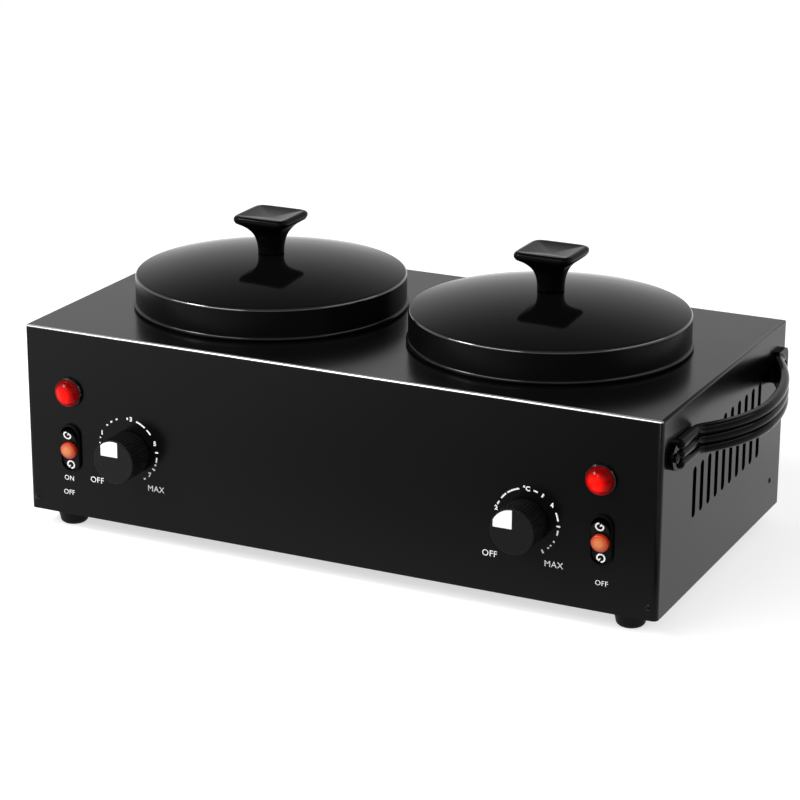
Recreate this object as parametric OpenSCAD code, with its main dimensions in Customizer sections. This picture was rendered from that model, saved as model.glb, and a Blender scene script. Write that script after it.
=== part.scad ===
// Twin-pot wax heater: a black sheet-metal box on rubber feet with two removable pots under
// domed lids, a thermostat, a rocker switch and a pilot lamp for each pot, a bowed strap
// handle on each side and a mains inlet at the back.
// Millimetres. +Z is up, the controls face -Y, "left" is -X. The origin is the middle of the
// whole object's footprint, on the surface it stands on.

/* [Body] */
// Width of the box, without the handles
body_w = 450; // [430:1:520]
// Depth of the box, without knobs and inlet
body_d = 235; // [225:1:280]
// Height of the box, without the feet
body_h = 129; // [122:1:160]
// Thickness of the box's sheet metal
sheet_t = 1.2; // [1:0.1:2]
// Outer radius of the upright edges
edge_r = 3.5; // [3:0.1:6]
// Outer radius of the edges round the top
bend_r = 2.2; // [2.1:0.1:5]

/* [Base pan and feet] */
// Height of the pan's upturned flanges
pan_flange_h = 28; // [25:1:36]
// Clearance between pan and box walls
pan_clear = 0.3; // [0.2:0.1:1]
// Height of a rubber foot
foot_h = 12; // [8:0.5:16]
// Diameter of a foot where it meets the pan
foot_top_d = 22.5; // [20:0.5:30]
// Diameter of a foot near the floor, before its edge rounds in
foot_bottom_d = 19; // [17:0.5:20]
// Centre of a foot from the side of the box
foot_in_x = 23; // [20:0.5:40]
// Centre of a foot from the front or back of the box
foot_in_y = 17; // [16:0.5:40]
// Number of breathing slots in each half of the pan
pan_slots = 7; // [3:1:9]
// Pitch of the pan's breathing slots
pan_slot_pitch = 14; // [9:0.5:16]
// Length of a breathing slot in the pan
pan_slot_l = 60; // [20:1:90]

/* [Side vents] */
// Number of short slots at the front end
vent_short = 4; // [1:1:5]
// Number of tall slots behind them
vent_tall = 6; // [1:1:7]
// Pitch of the slots
vent_pitch = 13.6; // [10:0.1:15]
// Width of a slot
vent_w = 6.4; // [3:0.1:7.5]
// Bottom of the slots above the box's bottom
vent_low = 48; // [44:1:60]
// Top of the short slots above the box's bottom
vent_mid = 81.5; // [72:0.5:86]
// Top of the tall slots above the box's bottom
vent_high = 100; // [90:0.5:104]
// The middle of the row of slots lies this far behind the box's middle
vent_back = 3.5; // [0:0.5:8]

/* [Pots and wells] */
// Distance between the two pots' centres
pot_spacing = 204.6; // [198:0.1:216]
// Outer diameter of a pot
pot_d = 154; // [140:1:158]
// Wall of a pot
pot_wall = 1; // [0.8:0.1:2]
// Depth of a pot below the box's top
pot_depth = 86; // [60:1:92]
// Outer radius between a pot's wall and floor
pot_corner_r = 10; // [5:0.5:20]
// Diameter across a pot's rolled rim
pot_rim_d = 177; // [172:0.5:178]
// Radius of a pot's rolled rim
pot_roll_r = 1.5; // [1.3:0.1:2]
// Gap between a lifted-in piece and what it rests on
seat_gap = 0.3; // [0.2:0.05:0.5]
// Clearance round a pot in its well
well_gap = 2.5; // [1.5:0.1:3]
// Clearance under a pot in its well
well_under = 2; // [1:0.5:4]
// Wall of a well
well_wall = 1.5; // [1:0.1:2]
// Diameter of a well's flange under the top sheet
well_flange_d = 194; // [188:1:197]

/* [Heating] */
// Height of the heater band
band_h = 56; // [40:1:60]
// Thickness of the heater band
band_t = 2.5; // [1.5:0.1:3]
// Clearance between band and well
band_clear = 0.1; // [0.05:0.05:0.2]
// Width of the band's clamping gap
band_split = 10; // [6:0.5:14]
// How far the band's clamping ears stand out
band_ear = 6; // [5:0.5:6.5]
// Inner diameter of the heat shield
shield_d = 185; // [184:0.5:186]
// Thickness of the heat shield
shield_t = 0.6; // [0.5:0.1:0.8]
// Height of the heat shield
shield_h = 84; // [60:1:95]
// Diameter of the thermal cut-out under a well
cutout_d = 17; // [14:0.5:24]
// Depth of the thermal cut-out
cutout_h = 9; // [6:0.5:14]

/* [Lids] */
// Diameter of a lid's skirt
lid_d = 184; // [184:0.5:190]
// Thickness of a lid
lid_t = 1.5; // [1:0.1:1.8]
// Height of a lid's rim above the box's top
lid_rim_h = 21.7; // [15:0.1:30]
// Height of a lid's crown above the box's top
lid_crown_h = 35.2; // [32:0.1:42]
// Outer radius between skirt and dome
lid_edge_r = 2.2; // [2:0.1:4]
// Radius of the rolled hem at the foot of the skirt
lid_hem_r = 1.75; // [1.5:0.05:2.2]

/* [Lid knobs] */
// Height of a lid knob
grip_h = 27.5; // [22:0.5:34]
// Diameter of its neck
grip_neck_d = 18; // [13:0.1:20]
// Width across the flats of its square head
grip_head_w = 40.5; // [30:0.5:44]
// Thickness of the head at its edge
grip_edge_t = 5.2; // [4:0.1:7]
// Depth of the four-sided dish in the head
grip_dish = 3; // [0.5:0.1:3.4]

/* [Thermostats] */
// Diameter of a thermostat knob
knob_d = 30; // [29:0.5:34]
// Length of a thermostat knob
knob_len = 20.8; // [16:0.1:26]
// Gap between knob and front panel
knob_gap = 1.3; // [1:0.1:2]
// Number of flutes round the knob
knob_flutes = 44; // [24:1:50]
// Radius of a flute's cutter
flute_r = 0.8; // [0.5:0.05:0.9]
// Wall of the hollow knob
knob_wall = 1.8; // [1.5:0.1:2]
// Thickness of the knob's face
knob_face_t = 3; // [2.7:0.1:4]
// Diameter of the boss on the shaft
knob_boss_d = 11; // [10:0.5:13]
// Width and height of the white pointer
pointer_w = 12.6; // [6:0.1:14]
// The pointer's middle from the knob's centre
pointer_out = 10.2; // [8:0.1:12]
// Thickness of the pointer
pointer_t = 1.5; // [1:0.1:1.8]
// Diameter of the thermostat shaft
shaft_d = 6; // [5:0.1:6.4]
// Radial running clearance of the shaft
shaft_clear = 0.05; // [0.02:0.01:0.1]
// Left knob from the left side of the box
left_knob_in = 79.5; // [70:0.5:100]
// Right knob from the right side of the box
right_knob_in = 87.5; // [70:0.5:100]
// Height of the knobs above the box's bottom
knob_up = 51.5; // [46:0.5:60]
// Left pointer, degrees clockwise from straight up
left_dial_turn = -17; // [-135:1:135]
// Right pointer, degrees clockwise from straight up
right_dial_turn = -38; // [-135:1:135]
// Distance between the thermostat's two fixing screws
stat_screw_pitch = 20; // [19:0.5:20.5]
// Width and height of the thermostat's body
stat_w = 34; // [30:1:36]
// Depth of the thermostat's body
stat_depth = 20; // [14:0.5:22]

/* [Pilot lamps] */
// Diameter of the lamp's bezel
lamp_d = 20.4; // [19.6:0.1:24]
// Diameter of the red lens
lens_d = 18.4; // [17:0.1:18.8]
// How far the lens stands out of the panel
lens_out = 8; // [7:0.1:10]
// Diameter of the lamp's threaded barrel
lamp_barrel_d = 15.8; // [14:0.1:16]
// Length of the barrel behind the panel
lamp_barrel_l = 24; // [14:0.5:32]
// Left lamp from the left side of the box
left_lamp_in = 33.5; // [28:0.5:45]
// Right lamp from the right side of the box
right_lamp_in = 38.5; // [28:0.5:45]
// Height of the lamps above the box's bottom
lamp_up = 86.5; // [82:0.5:100]

/* [Rocker switches] */
// Width of the switch's bezel
switch_w = 15.2; // [15:0.1:18]
// Height of the switch's bezel
switch_h = 33.5; // [33.3:0.1:38]
// Thickness of the bezel on the panel
bezel_t = 2.4; // [1.5:0.1:3]
// Width of the rocker
rocker_w = 12.2; // [12:0.1:12.8]
// Height of the rocker
rocker_h = 28; // [26:0.1:28.5]
// Gap at each side of the rocker
rocker_side_gap = 0.3; // [0.25:0.05:0.4]
// Gap beyond each end of the rocker, for its swing
rocker_end_gap = 1.35; // [1.2:0.05:1.6]
// Tilt of the rocker each way from level
rocker_tilt = 9; // [5:0.5:10]
// Diameter of the amber lens on the rocker
rocker_lens_d = 11.6; // [8:0.1:11.7]
// Left switch from the left side of the box
left_switch_in = 33.5; // [28:0.5:45]
// Right switch from the right side of the box
right_switch_in = 37; // [28:0.5:45]
// Height of the switches above the box's bottom
switch_up = 47.5; // [40:0.5:54]

/* [Side handles] */
// Height of the strap
strap_h = 19; // [17:0.1:22]
// Thickness of the strap's backing
strap_t = 4; // [3.2:0.1:5]
// Number of ribs along the strap
strap_ribs = 3; // [2:1:4]
// How far the ribs stand out of the backing
rib_out = 2.3; // [1.5:0.1:2.3]
// Widest gap between strap and box
handle_gap = 25; // [18:0.5:34]
// Front screw of a handle from the front of the box
handle_front_in = 14.5; // [13:0.5:20]
// Back screw of a handle from the back of the box
handle_back_in = 13.5; // [13:0.5:20]
// From the front screw to where the ribs begin
rib_start = 8; // [7.5:0.5:14]
// From the front screw to where the strap leaves the box
front_land = 33; // [16:0.5:45]
// Radius of the bend where the strap leaves the box in front
front_bend_r = 18; // [12:0.5:24]
// From the back screw to where the strap meets the box
back_land = 7; // [7:0.5:20]
// Radius of the bend where the strap meets the box at the back
back_bend_r = 25; // [12:0.5:40]
// Height of the foot under the strap's back end
heel_h = 22; // [20:0.5:26]
// Length of that foot
heel_len = 23; // [18:0.5:30]
// The strap's middle below the top of the box
handle_down = 27; // [24:0.5:36]

/* [Power inlet] */
// Width of the inlet's flange
inlet_w = 50; // [48:0.5:54]
// Height of the inlet's flange
inlet_h = 24; // [23:0.5:30]
// Thickness of the inlet's flange
inlet_t = 2.5; // [2:0.1:4]
// Distance between the flange's two screws
inlet_pitch = 40; // [38.5:0.5:41]
// Depth of the socket
inlet_socket = 15.5; // [14:0.5:18]
// Height of the inlet above the box's bottom
inlet_up = 32; // [30:0.5:60]

/* [Fasteners] */
// Diameter of the base screws
base_screw_d = 3; // [2.5:0.1:4]
// Base screws in front and back, from the side of the box
base_screw_in = 5.5; // [5.5:0.1:12]
// Base screws in front and back, above the box's bottom
base_screw_up = 8.5; // [6:0.5:14]
// Side base screws, in front of the box's back
side_screw_in = 21.5; // [12:0.5:40]
// Side base screws, above the box's bottom
side_screw_up = 21.7; // [12:0.1:22]
// Diameter of handle, foot and lid screws
screw_d = 4; // [3:0.1:4.4]
// Clearance of a screw in its hole, on the radius
screw_clear = 0.2; // [0.1:0.05:0.4]

/* [Hidden] */

$fn = 72;
eps = 0.01;
cut = 1;      // how far a cutter runs past what it cuts

LEFT = -1;
RIGHT = 1;

// The footprint runs from the knobs' faces to the inlet's flange.
front_reach = knob_gap + knob_len;
total_d = front_reach + body_d + inlet_t;
front_y = front_reach - total_d / 2;
back_y = front_y + body_d;
mid_y = (front_y + back_y) / 2;
side_x = body_w / 2;
top_z = foot_h + body_h;
pan_t = sheet_t;

// Pots, wells and what is round them
pot_r = pot_d / 2;
pot_rim_r = pot_rim_d / 2;
pot_floor_z = top_z + seat_gap - pot_depth;
well_r = pot_r + well_gap;
well_out_r = well_r + well_wall;
well_floor_z = pot_floor_z - well_under;
well_bottom_z = well_floor_z - well_wall;
well_top_z = top_z - sheet_t;
well_corner_r = pot_corner_r + well_gap;
band_z = well_floor_z + well_corner_r;
shield_r = shield_d / 2;

// Lids: the dome is tangent to the rounded edge over the skirt
lid_r = lid_d / 2;
lid_rise = lid_crown_h - lid_rim_h;
dome_r = (lid_r * lid_r + lid_rise * lid_rise) / (2 * lid_rise);
crown_z = top_z + lid_crown_h;
grip_flare_h = grip_h - grip_edge_t;
grip_under = 160;        // the head's round edge turns through this angle, up to the dish's rim
grip_rim = 1.2;         // width of the flat rim round the dish
grip_dish_square = 16;  // the dish has sharper corners than the head
lid_washer_r = 5.5;
lid_screw_head_h = 2.6;
lid_screw_gap = 0.1;
lid_seat_z = crown_z - dome_r + sqrt(pow(dome_r - lid_t, 2) - pow(lid_washer_r, 2)) - lid_screw_gap;

// Controls
stat_plate_t = 1;
stat_bush_r = 4.8;
stat_hole_r = stat_bush_r + screw_clear;
stat_screw_r = 1.5;
stat_head_r = 2.6;
stat_head_h = 1.1;
stat_plate_over = 2;    // the plate reaches past the body by this at its sides, above and below
stat_corner_r = 3;
stat_bush_out = 1;      // the bush ends this far outside the panel
stat_screw_in = 6;      // the screws' holes end this far behind the panel
stat_tab_w = 6.3;
stat_tab_t = 0.8;
stat_tab_pitch = 9;
stat_tab_in = 3;
stat_tab_out = 7;
knob_r = knob_d / 2;
knob_chamfer = 0.8;
pointer_rim = 0.2;       // the face's rim left round the pointer
shaft_flat = 0.8;
shaft_in = 10;
shaft_tip = knob_gap + knob_len - knob_face_t - 0.5;
lamp_flange_h = 2.6;
lens_sink = 1;
lens_step_h = 1.6;
lens_ring_in = 0.6;     // each ring of the lens is this much smaller than the one under it
lens_ring_h = 0.7;
lens_spigot_r = 5.6;
lens_spigot_h = 6;
lamp_hole_r = lamp_barrel_d / 2 + screw_clear;
nut_h = 3.2;
window_w = rocker_w + 2 * rocker_side_gap;
window_h = rocker_h + 2 * rocker_end_gap;
switch_wall = 0.45;
switch_body_w = window_w + 2 * switch_wall;
switch_body_h = window_h + 2 * switch_wall;
switch_clear = 0.1;
switch_well = 9;
switch_depth = 15;
rocker_pivot = 3.5;     // the rocker's axle lies this far behind the panel's face
rocker_pin_r = 1;
rocker_pin_clear = 0.05;
rocker_mid = 1.7;       // the level rocker's face above the panel, at its middle
rocker_end = 3.2;       // and at its ends
rocker_lens_out = 4.4;

// Handles, from the middle of the box's depth: the screws and where the strap leaves the box
handle_front_y = handle_front_in - body_d / 2;
handle_back_y = body_d / 2 - handle_back_in;
handle_up = body_h - handle_down;
front_leave = -handle_front_y - front_land;
back_leave = handle_back_y - back_land;
rib_pitch = strap_h / strap_ribs;
rib_r = rib_pitch / 2;
rib_x = strap_t + rib_out - rib_r;
strap_round = 1.2;
seam_step = 0.02;       // each length of strap is this much thinner than the next one,
seam_turn = 0.5;        // and runs this many degrees into it
lug_t = strap_t - 0.5;
lug_h = strap_h - 1;
lug_end = 5.5;          // the front lug runs past its screw by this
heel_end = 8;           // and the back foot by this
heel_round = 6;
handle_head_r = 3;
handle_head_h = 2.2;

// Inlet: the socket's standard outline
inlet_core_w = 27.6;
inlet_core_h = 20;
inlet_core_chamfer = 5;
inlet_core_depth = 19;
inlet_hollow_w = 24.6;
inlet_hollow_h = 16.6;
inlet_hollow_chamfer = 4;
inlet_clear = 0.2;
inlet_pin_pitch = 7;
inlet_pin_w = 2;
inlet_pin_h = 4;
inlet_pin_short = 3;    // the pins end this far inside the mouth
inlet_earth_rise = 2;
inlet_screw_r = 1.5;

// ---------- outlines ----------

// A rectangle of w by h with round corners, centred
module rounded_rect(w, h, r) {
    square([w - 2 * r, h], center = true);
    square([w, h - 2 * r], center = true);
    for (sx = [-1, 1], sy = [-1, 1])
        translate([sx * (w / 2 - r), sy * (h / 2 - r)]) circle(r);
}

// A rectangle standing on the X axis with its two upper corners round
module arch(w, h, r) {
    translate([-w / 2, 0]) square([w, h - r]);
    translate([r - w / 2, 0]) square([w - 2 * r, h]);
    for (sx = [-1, 1]) translate([sx * (w / 2 - r), h - r]) circle(r);
}

// An upright slot with round ends, w wide, from y = low to y = high
module slot(w, low, high) {
    translate([-w / 2, low + w / 2]) square([w, high - low - w]);
    for (y = [low + w / 2, high - w / 2]) translate([0, y]) circle(w / 2);
}

// A stadium of w by h, upright and centred
module stadium(w, h) {
    slot(w, -h / 2, h / 2);
}

// The inlet's outline: a rectangle with its two upper corners cut off
module inlet_outline(w, h, c) {
    polygon([[-w / 2, -h / 2], [w / 2, -h / 2], [w / 2, h / 2 - c],
             [w / 2 - c, h / 2], [c - w / 2, h / 2], [-w / 2, h / 2 - c]]);
}

// ---------- placing ----------

// On the front panel: local x is right, y is up and z stands out towards the user
module on_front(x, up) {
    translate([x, front_y, foot_h + up]) rotate([90, 0, 0]) children();
}

// On the back panel: local y is up and z stands out behind
module on_back(x, up) {
    translate([x, back_y, foot_h + up]) rotate([90, 0, 180]) children();
}

// On the right side panel, mirrored for the left: local x runs to the back, y up, z out
module on_side(side, y, up) {
    mirror([side < 0 ? 1 : 0, 0, 0])
        translate([side_x, y, foot_h + up]) rotate([90, 0, 90]) children();
}

// On the axis of a pot, with z = 0 at the height given
module at_pot(side, z) {
    translate([side * pot_spacing / 2, mid_y, z]) children();
}

// At each foot
module at_feet() {
    for (sx = [-1, 1], sy = [-1, 1])
        translate([sx * (side_x - foot_in_x), mid_y + sy * (body_d / 2 - foot_in_y), 0])
            children();
}

// At each base screw, local z standing out of the wall
module at_base_screws() {
    for (side = [LEFT, RIGHT]) {
        on_front(side * (side_x - base_screw_in), base_screw_up) children();
        on_back(side * (side_x - base_screw_in), base_screw_up) children();
        on_side(side, back_y - side_screw_in, side_screw_up) children();
    }
}

// At the two screws of one handle
module at_handle_screws(side) {
    for (y = [handle_front_y, handle_back_y]) on_side(side, mid_y + y, handle_up) children();
}

// At the two screws of one thermostat
module at_stat_screws(side) {
    for (end = [-1, 1])
        on_front(knob_x(side), knob_up) translate([end * stat_screw_pitch / 2, 0, 0]) children();
}

function knob_x(side) = side < 0 ? left_knob_in - side_x : side_x - right_knob_in;
function lamp_x(side) = side < 0 ? left_lamp_in - side_x : side_x - right_lamp_in;
function switch_x(side) = side < 0 ? left_switch_in - side_x : side_x - right_switch_in;
function dial_turn(side) = side < 0 ? left_dial_turn : right_dial_turn;

// ---------- fasteners ----------

// A pan-head screw: its head sits on z = 0 and its shank runs down from there
module pan_screw(d, len, head_r, head_h, slotted = true) {
    difference() {
        union() {
            translate([0, 0, -len]) cylinder(r = d / 2, h = len + eps);
            intersection() {
                cylinder(r = head_r, h = head_h);
                translate([0, 0, head_h - head_r * 1.6]) sphere(r = head_r * 1.6);
            }
        }
        if (slotted)
            translate([-head_r - cut, -head_h * 0.18, head_h * 0.55])
                cube([2 * head_r + 2 * cut, head_h * 0.36, head_h]);
    }
}

// A hexagon nut standing on z = 0 round a screw of diameter d
module hex_nut(d, h) {
    difference() {
        cylinder(r = d * 1.02, h = h, $fn = 6);
        translate([0, 0, -cut]) cylinder(r = d / 2 + 0.05, h = h + 2 * cut);
    }
}

// ---------- box ----------

// A box with round upright edges and round top edges, centred on X and Y
module soft_block(w, d, h, upright_r, top_r) {
    intersection() {
        linear_extrude(h) rounded_rect(w, d, upright_r);
        rotate([90, 0, 0]) translate([0, 0, -d / 2]) linear_extrude(d) arch(w, h, top_r);
        rotate([90, 0, 90]) translate([0, 0, -w / 2]) linear_extrude(w) arch(d, h, top_r);
    }
}

module side_vents() {
    count = vent_short + vent_tall;
    for (i = [0 : count - 1])
        translate([(i - (count - 1) / 2) * vent_pitch, 0])
            slot(vent_w, vent_low, i < vent_short ? vent_mid : vent_high);
}

// Everything that is cut through the box's walls
module housing_cuts() {
    for (side = [LEFT, RIGHT]) {
        at_pot(side, top_z - sheet_t - cut) cylinder(r = well_r, h = sheet_t + 2 * cut, $fn = 120);
        on_front(lamp_x(side), lamp_up) through() circle(lamp_hole_r);
        on_front(knob_x(side), knob_up) through() circle(stat_hole_r);
        at_stat_screws(side) through() circle(stat_screw_r + screw_clear);
        on_front(switch_x(side), switch_up) through()
            stadium(switch_body_w + 2 * switch_clear, switch_body_h + 2 * switch_clear);
        on_side(side, mid_y + vent_back, 0) through() side_vents();
        at_handle_screws(side) through() circle(screw_d / 2 + screw_clear);
    }
    at_base_screws() through() circle(base_screw_d / 2 + screw_clear);
    on_back(0, inlet_up) through() {
        inlet_outline(inlet_core_w + 2 * inlet_clear, inlet_core_h + 2 * inlet_clear,
                      inlet_core_chamfer);
        for (end = [-1, 1]) translate([end * inlet_pitch / 2, 0])
            circle(inlet_screw_r + screw_clear);
    }
}

// A cutter through one sheet, drawn on the sheet's outer face
module through() {
    translate([0, 0, -sheet_t - cut]) linear_extrude(sheet_t + 2 * cut) children();
}

module housing() {
    color("#1b1b1c") difference() {
        translate([0, mid_y, foot_h]) soft_block(body_w, body_d, body_h, edge_r, bend_r);
        translate([0, mid_y, foot_h - cut])
            soft_block(body_w - 2 * sheet_t, body_d - 2 * sheet_t, body_h - sheet_t + cut,
                       edge_r - sheet_t, bend_r - sheet_t);
        housing_cuts();
    }
}

module base_pan() {
    pan_w = body_w - 2 * (sheet_t + pan_clear);
    pan_d = body_d - 2 * (sheet_t + pan_clear);
    pan_r = edge_r - sheet_t - pan_clear;
    color("#2a2a2b") difference() {
        translate([0, mid_y, foot_h]) linear_extrude(pan_flange_h) rounded_rect(pan_w, pan_d, pan_r);
        translate([0, mid_y, foot_h + pan_t]) linear_extrude(pan_flange_h)
            rounded_rect(pan_w - 2 * pan_t, pan_d - 2 * pan_t, pan_r - pan_t / 2);
        at_feet() cylinder(r = screw_d / 2 + screw_clear, h = foot_h + pan_t + cut);
        at_base_screws() translate([0, 0, -sheet_t - pan_clear - pan_t - cut])
            cylinder(r = base_screw_d / 2 + 0.05, h = pan_t + 2 * cut);
        for (side = [LEFT, RIGHT], i = [0 : pan_slots - 1])
            at_pot(side, foot_h - cut) translate([(i - (pan_slots - 1) / 2) * pan_slot_pitch, 0, 0])
                linear_extrude(pan_t + 2 * cut) stadium(vent_w, pan_slot_l);
        on_back(0, inlet_up) translate([0, 0, -sheet_t - pan_clear - pan_t - cut])
            linear_extrude(pan_t + 2 * cut) translate([-inlet_w / 2, -inlet_h / 2 - cut])
                square([inlet_w, inlet_h + inlet_up]);
    }
}

foot_recess_r = 4.2;
foot_recess_h = 4;
foot_round_r = 3.5;

module rubber_feet() {
    top_r = foot_top_d / 2;
    low_r = foot_bottom_d / 2;
    color("#101010") at_feet() difference() {
        rotate_extrude() difference() {
            union() {
                polygon([[0, foot_h], [top_r, foot_h], [top_r, foot_h - 1.5],
                         [low_r, foot_round_r], [low_r - foot_round_r, foot_round_r], [0, foot_round_r]]);
                square([low_r - foot_round_r, foot_h]);
                translate([low_r - foot_round_r, foot_round_r]) circle(foot_round_r);
            }
            translate([-foot_top_d, -1]) square([foot_top_d, foot_h + 2]);
        }
        translate([0, 0, -cut]) cylinder(r = foot_recess_r, h = foot_recess_h + cut);
        cylinder(r = screw_d / 2 + screw_clear, h = foot_h + cut);
    }
}

module foot_screws() {
    color("silver") at_feet() translate([0, 0, foot_recess_h]) mirror([0, 0, 1])
        pan_screw(screw_d, foot_h - foot_recess_h + pan_t + nut_h + 1, foot_recess_r - 0.9, 2.4);
}

module foot_nuts() {
    color("silver") at_feet() translate([0, 0, foot_h + pan_t]) hex_nut(screw_d, nut_h);
}

base_head_r = 2.1;
base_head_h = 0.9;
base_screw_end = 3;     // a base screw's end inside the pan

module base_screws() {
    color("#303030") at_base_screws()
        pan_screw(base_screw_d, sheet_t + pan_clear + pan_t + base_screw_end, base_head_r, base_head_h);
}

// ---------- wells and heating ----------

// A round cup's outline for turning: radius r, from z = 0 up to h, corner radius c
module cup_profile(r, h, c) {
    square([r - c, h]);
    translate([0, c]) square([r, h - c]);
    intersection() {
        translate([r - c, c]) circle(c);
        square([r, h]);
    }
}

module well(side) {
    depth = well_top_z - well_bottom_z;
    flange_t = well_wall;
    color("#b9bcc0") at_pot(side, well_bottom_z) difference() {
        rotate_extrude($fn = 120) difference() {
            union() {
                cup_profile(well_out_r, depth, well_corner_r + well_wall);
                translate([well_r, depth - flange_t]) square([well_flange_d / 2 - well_r, flange_t]);
            }
            translate([0, well_wall]) cup_profile(well_r, depth, well_corner_r);
        }
        translate([0, 0, -cut]) cylinder(r = screw_d / 2, h = well_wall + 2 * cut);
    }
}

module heater_band(side) {
    inner = well_out_r + band_clear;
    ear_t = 1.8;
    hole_r = 1.6;
    color("#8f8a80") at_pot(side, band_z) difference() {
        union() {
            cylinder(r = inner + band_t, h = band_h, $fn = 120);
            translate([-band_split / 2 - ear_t, -inner - band_t - band_ear, 0])
                cube([band_split + 2 * ear_t, band_ear + band_t, band_h]);
        }
        translate([0, 0, -cut]) cylinder(r = inner, h = band_h + 2 * cut, $fn = 120);
        translate([-band_split / 2, -inner - band_t - band_ear - cut, -cut])
            cube([band_split, band_ear + 2 * band_t + cut, band_h + 2 * cut]);
        for (z = [band_h / 4, band_h * 3 / 4])
            translate([-band_split, -inner - band_t - band_ear / 2, z]) rotate([0, 90, 0])
                cylinder(r = hole_r, h = 2 * band_split);
    }
}

module heat_shield(side) {
    color("#a7a9ab") at_pot(side, well_top_z - well_wall - shield_h) rotate_extrude($fn = 120)
        translate([shield_r, 0]) square([shield_t, shield_h]);
}

module cutout(side) {
    r = cutout_d / 2;
    color("#d9d4c8") at_pot(side, well_bottom_z) mirror([0, 0, 1]) difference() {
        union() {
            cylinder(r = r, h = cutout_h);
            cylinder(r = r + 1.2, h = 1.5);
            for (end = [-1, 1]) translate([end * r * 0.55 - 0.4, -3.15, cutout_h - eps])
                cube([0.8, 6.3, 8]);
        }
        translate([0, 0, -cut]) cylinder(r = screw_d / 2, h = 3);
    }
}

// ---------- pots and lids ----------

module pot(side) {
    roll_z = pot_depth + pot_roll_r;
    flange_in = pot_r - pot_wall;
    color("#c4c7cb") at_pot(side, pot_floor_z) rotate_extrude($fn = 120) difference() {
        union() {
            cup_profile(pot_r, pot_depth + pot_wall, pot_corner_r);
            translate([flange_in, pot_depth]) square([pot_rim_r - pot_roll_r - flange_in, pot_wall]);
            translate([pot_rim_r - pot_roll_r, roll_z]) circle(pot_roll_r, $fn = 32);
        }
        translate([0, pot_wall]) cup_profile(flange_in, pot_depth + pot_wall, pot_corner_r - pot_wall);
    }
}

// Half of a lid's section, filled, with its wall taken in by inset
module lid_section(inset) {
    r = lid_r - inset;
    sphere_r = dome_r - inset;
    edge = lid_edge_r - inset;
    dome_z = lid_crown_h - dome_r;
    edge_z = dome_z + sqrt(pow(sphere_r - edge, 2) - pow(r - edge, 2));
    touch_r = (r - edge) * sphere_r / (sphere_r - edge);
    low = seat_gap + lid_hem_r;
    translate([0, low]) square([r, edge_z - low]);
    translate([r - edge, edge_z]) circle(edge, $fn = 48);
    intersection() {
        translate([0, dome_z]) circle(sphere_r, $fn = 360);
        translate([0, low]) square([touch_r, lid_crown_h]);
    }
}

module lid(side) {
    color("#161617") at_pot(side, top_z) difference() {
        rotate_extrude($fn = 144) {
            difference() {
                lid_section(0);
                lid_section(lid_t);
                square([lid_r - lid_t, seat_gap + lid_hem_r + eps]);
            }
            translate([lid_r - lid_t + lid_hem_r * 0.65, seat_gap + lid_hem_r])
                circle(lid_hem_r, $fn = 32);
        }
        cylinder(r = screw_d / 2 + screw_clear, h = lid_crown_h + cut);
    }
}

// ---------- lid knob: a loft from a round neck to a dished square head ----------

grip_points = 32;
grip_flare_rings = 9;
grip_edge_rings = 6;
grip_joint_h = 0.6;     // the fine groove between knob and lid
grip_neck_h = 3;        // the neck is straight up to here
grip_round = 2.3;       // radius of the head's edge
grip_square = 7;        // how square the head is; 2 is a circle
lid_screw_in = 10;      // the lid's screw reaches this far into the knob

// One ring of the loft: half-width a, squareness n, height z
function grip_ring(a, n, z) = [
    for (i = [0 : grip_points - 1])
        let (t = 360 * i / grip_points, c = cos(t), s = sin(t))
            [a * sign(c) * pow(abs(c), 2 / n), a * sign(s) * pow(abs(s), 2 / n), z]
];

// Rings up the flare: slow at the neck, wide under the head
function grip_flare(from) = [
    for (i = [0 : grip_flare_rings])
        let (z = from + (grip_flare_h - from) * i / grip_flare_rings,
             t = (z - from) / (grip_flare_h - from),
             a = grip_neck_d / 2 + (grip_head_w / 2 - 1 - grip_neck_d / 2) * pow(t, 3.4),
             n = 2 + (grip_square - 2) * pow(t, 1.6))
            grip_ring(a, n, z)
];

// Rings round the head's edge, up to where the dish begins
function grip_edge() = [
    for (i = [1 : grip_edge_rings])
        let (t = 90 - grip_under * (1 - i / grip_edge_rings),
             z = i < grip_edge_rings / 2 ? grip_flare_h + grip_round + grip_round * sin(t)
                                         : grip_h - grip_round + grip_round * sin(t))
            grip_ring(grip_head_w / 2 - grip_round + grip_round * cos(t), grip_square, z)
];

module lid_knob(side) {
    rim = [grip_ring(grip_head_w / 2 - grip_round - grip_rim, grip_dish_square, grip_h)];
    rings = concat([grip_ring(grip_neck_d / 2, 2, grip_joint_h)], grip_flare(grip_neck_h), grip_edge(), rim);
    count = len(rings);
    n = grip_points;
    points = concat([for (r = rings) each r], [[0, 0, grip_h - grip_dish]]);
    walls = [for (k = [0 : count - 2], i = [0 : n - 1])
        let (a = k * n + i, b = k * n + (i + 1) % n)
            each [[a, a + n, b + n], [a, b + n, b]]];
    dish = [for (i = [0 : n - 1]) [(count - 1) * n + i, count * n, (count - 1) * n + (i + 1) % n]];
    foot = [[for (i = [0 : n - 1]) i]];
    color("#121213") at_pot(side, crown_z) difference() {
        union() {
            cylinder(r = grip_neck_d / 2 - 0.5, h = 2 * grip_joint_h);
            polyhedron(points, concat(walls, dish, foot), convexity = 4);
        }
        translate([0, 0, -cut]) cylinder(r = screw_d / 2 + 0.05, h = lid_screw_in + 2 + cut);
    }
}

module lid_screw(side) {
    color("silver") at_pot(side, lid_seat_z) mirror([0, 0, 1])
        pan_screw(screw_d, lid_t + lid_screw_in, lid_washer_r, lid_screw_head_h);
}

// ---------- thermostats and knobs ----------

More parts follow.
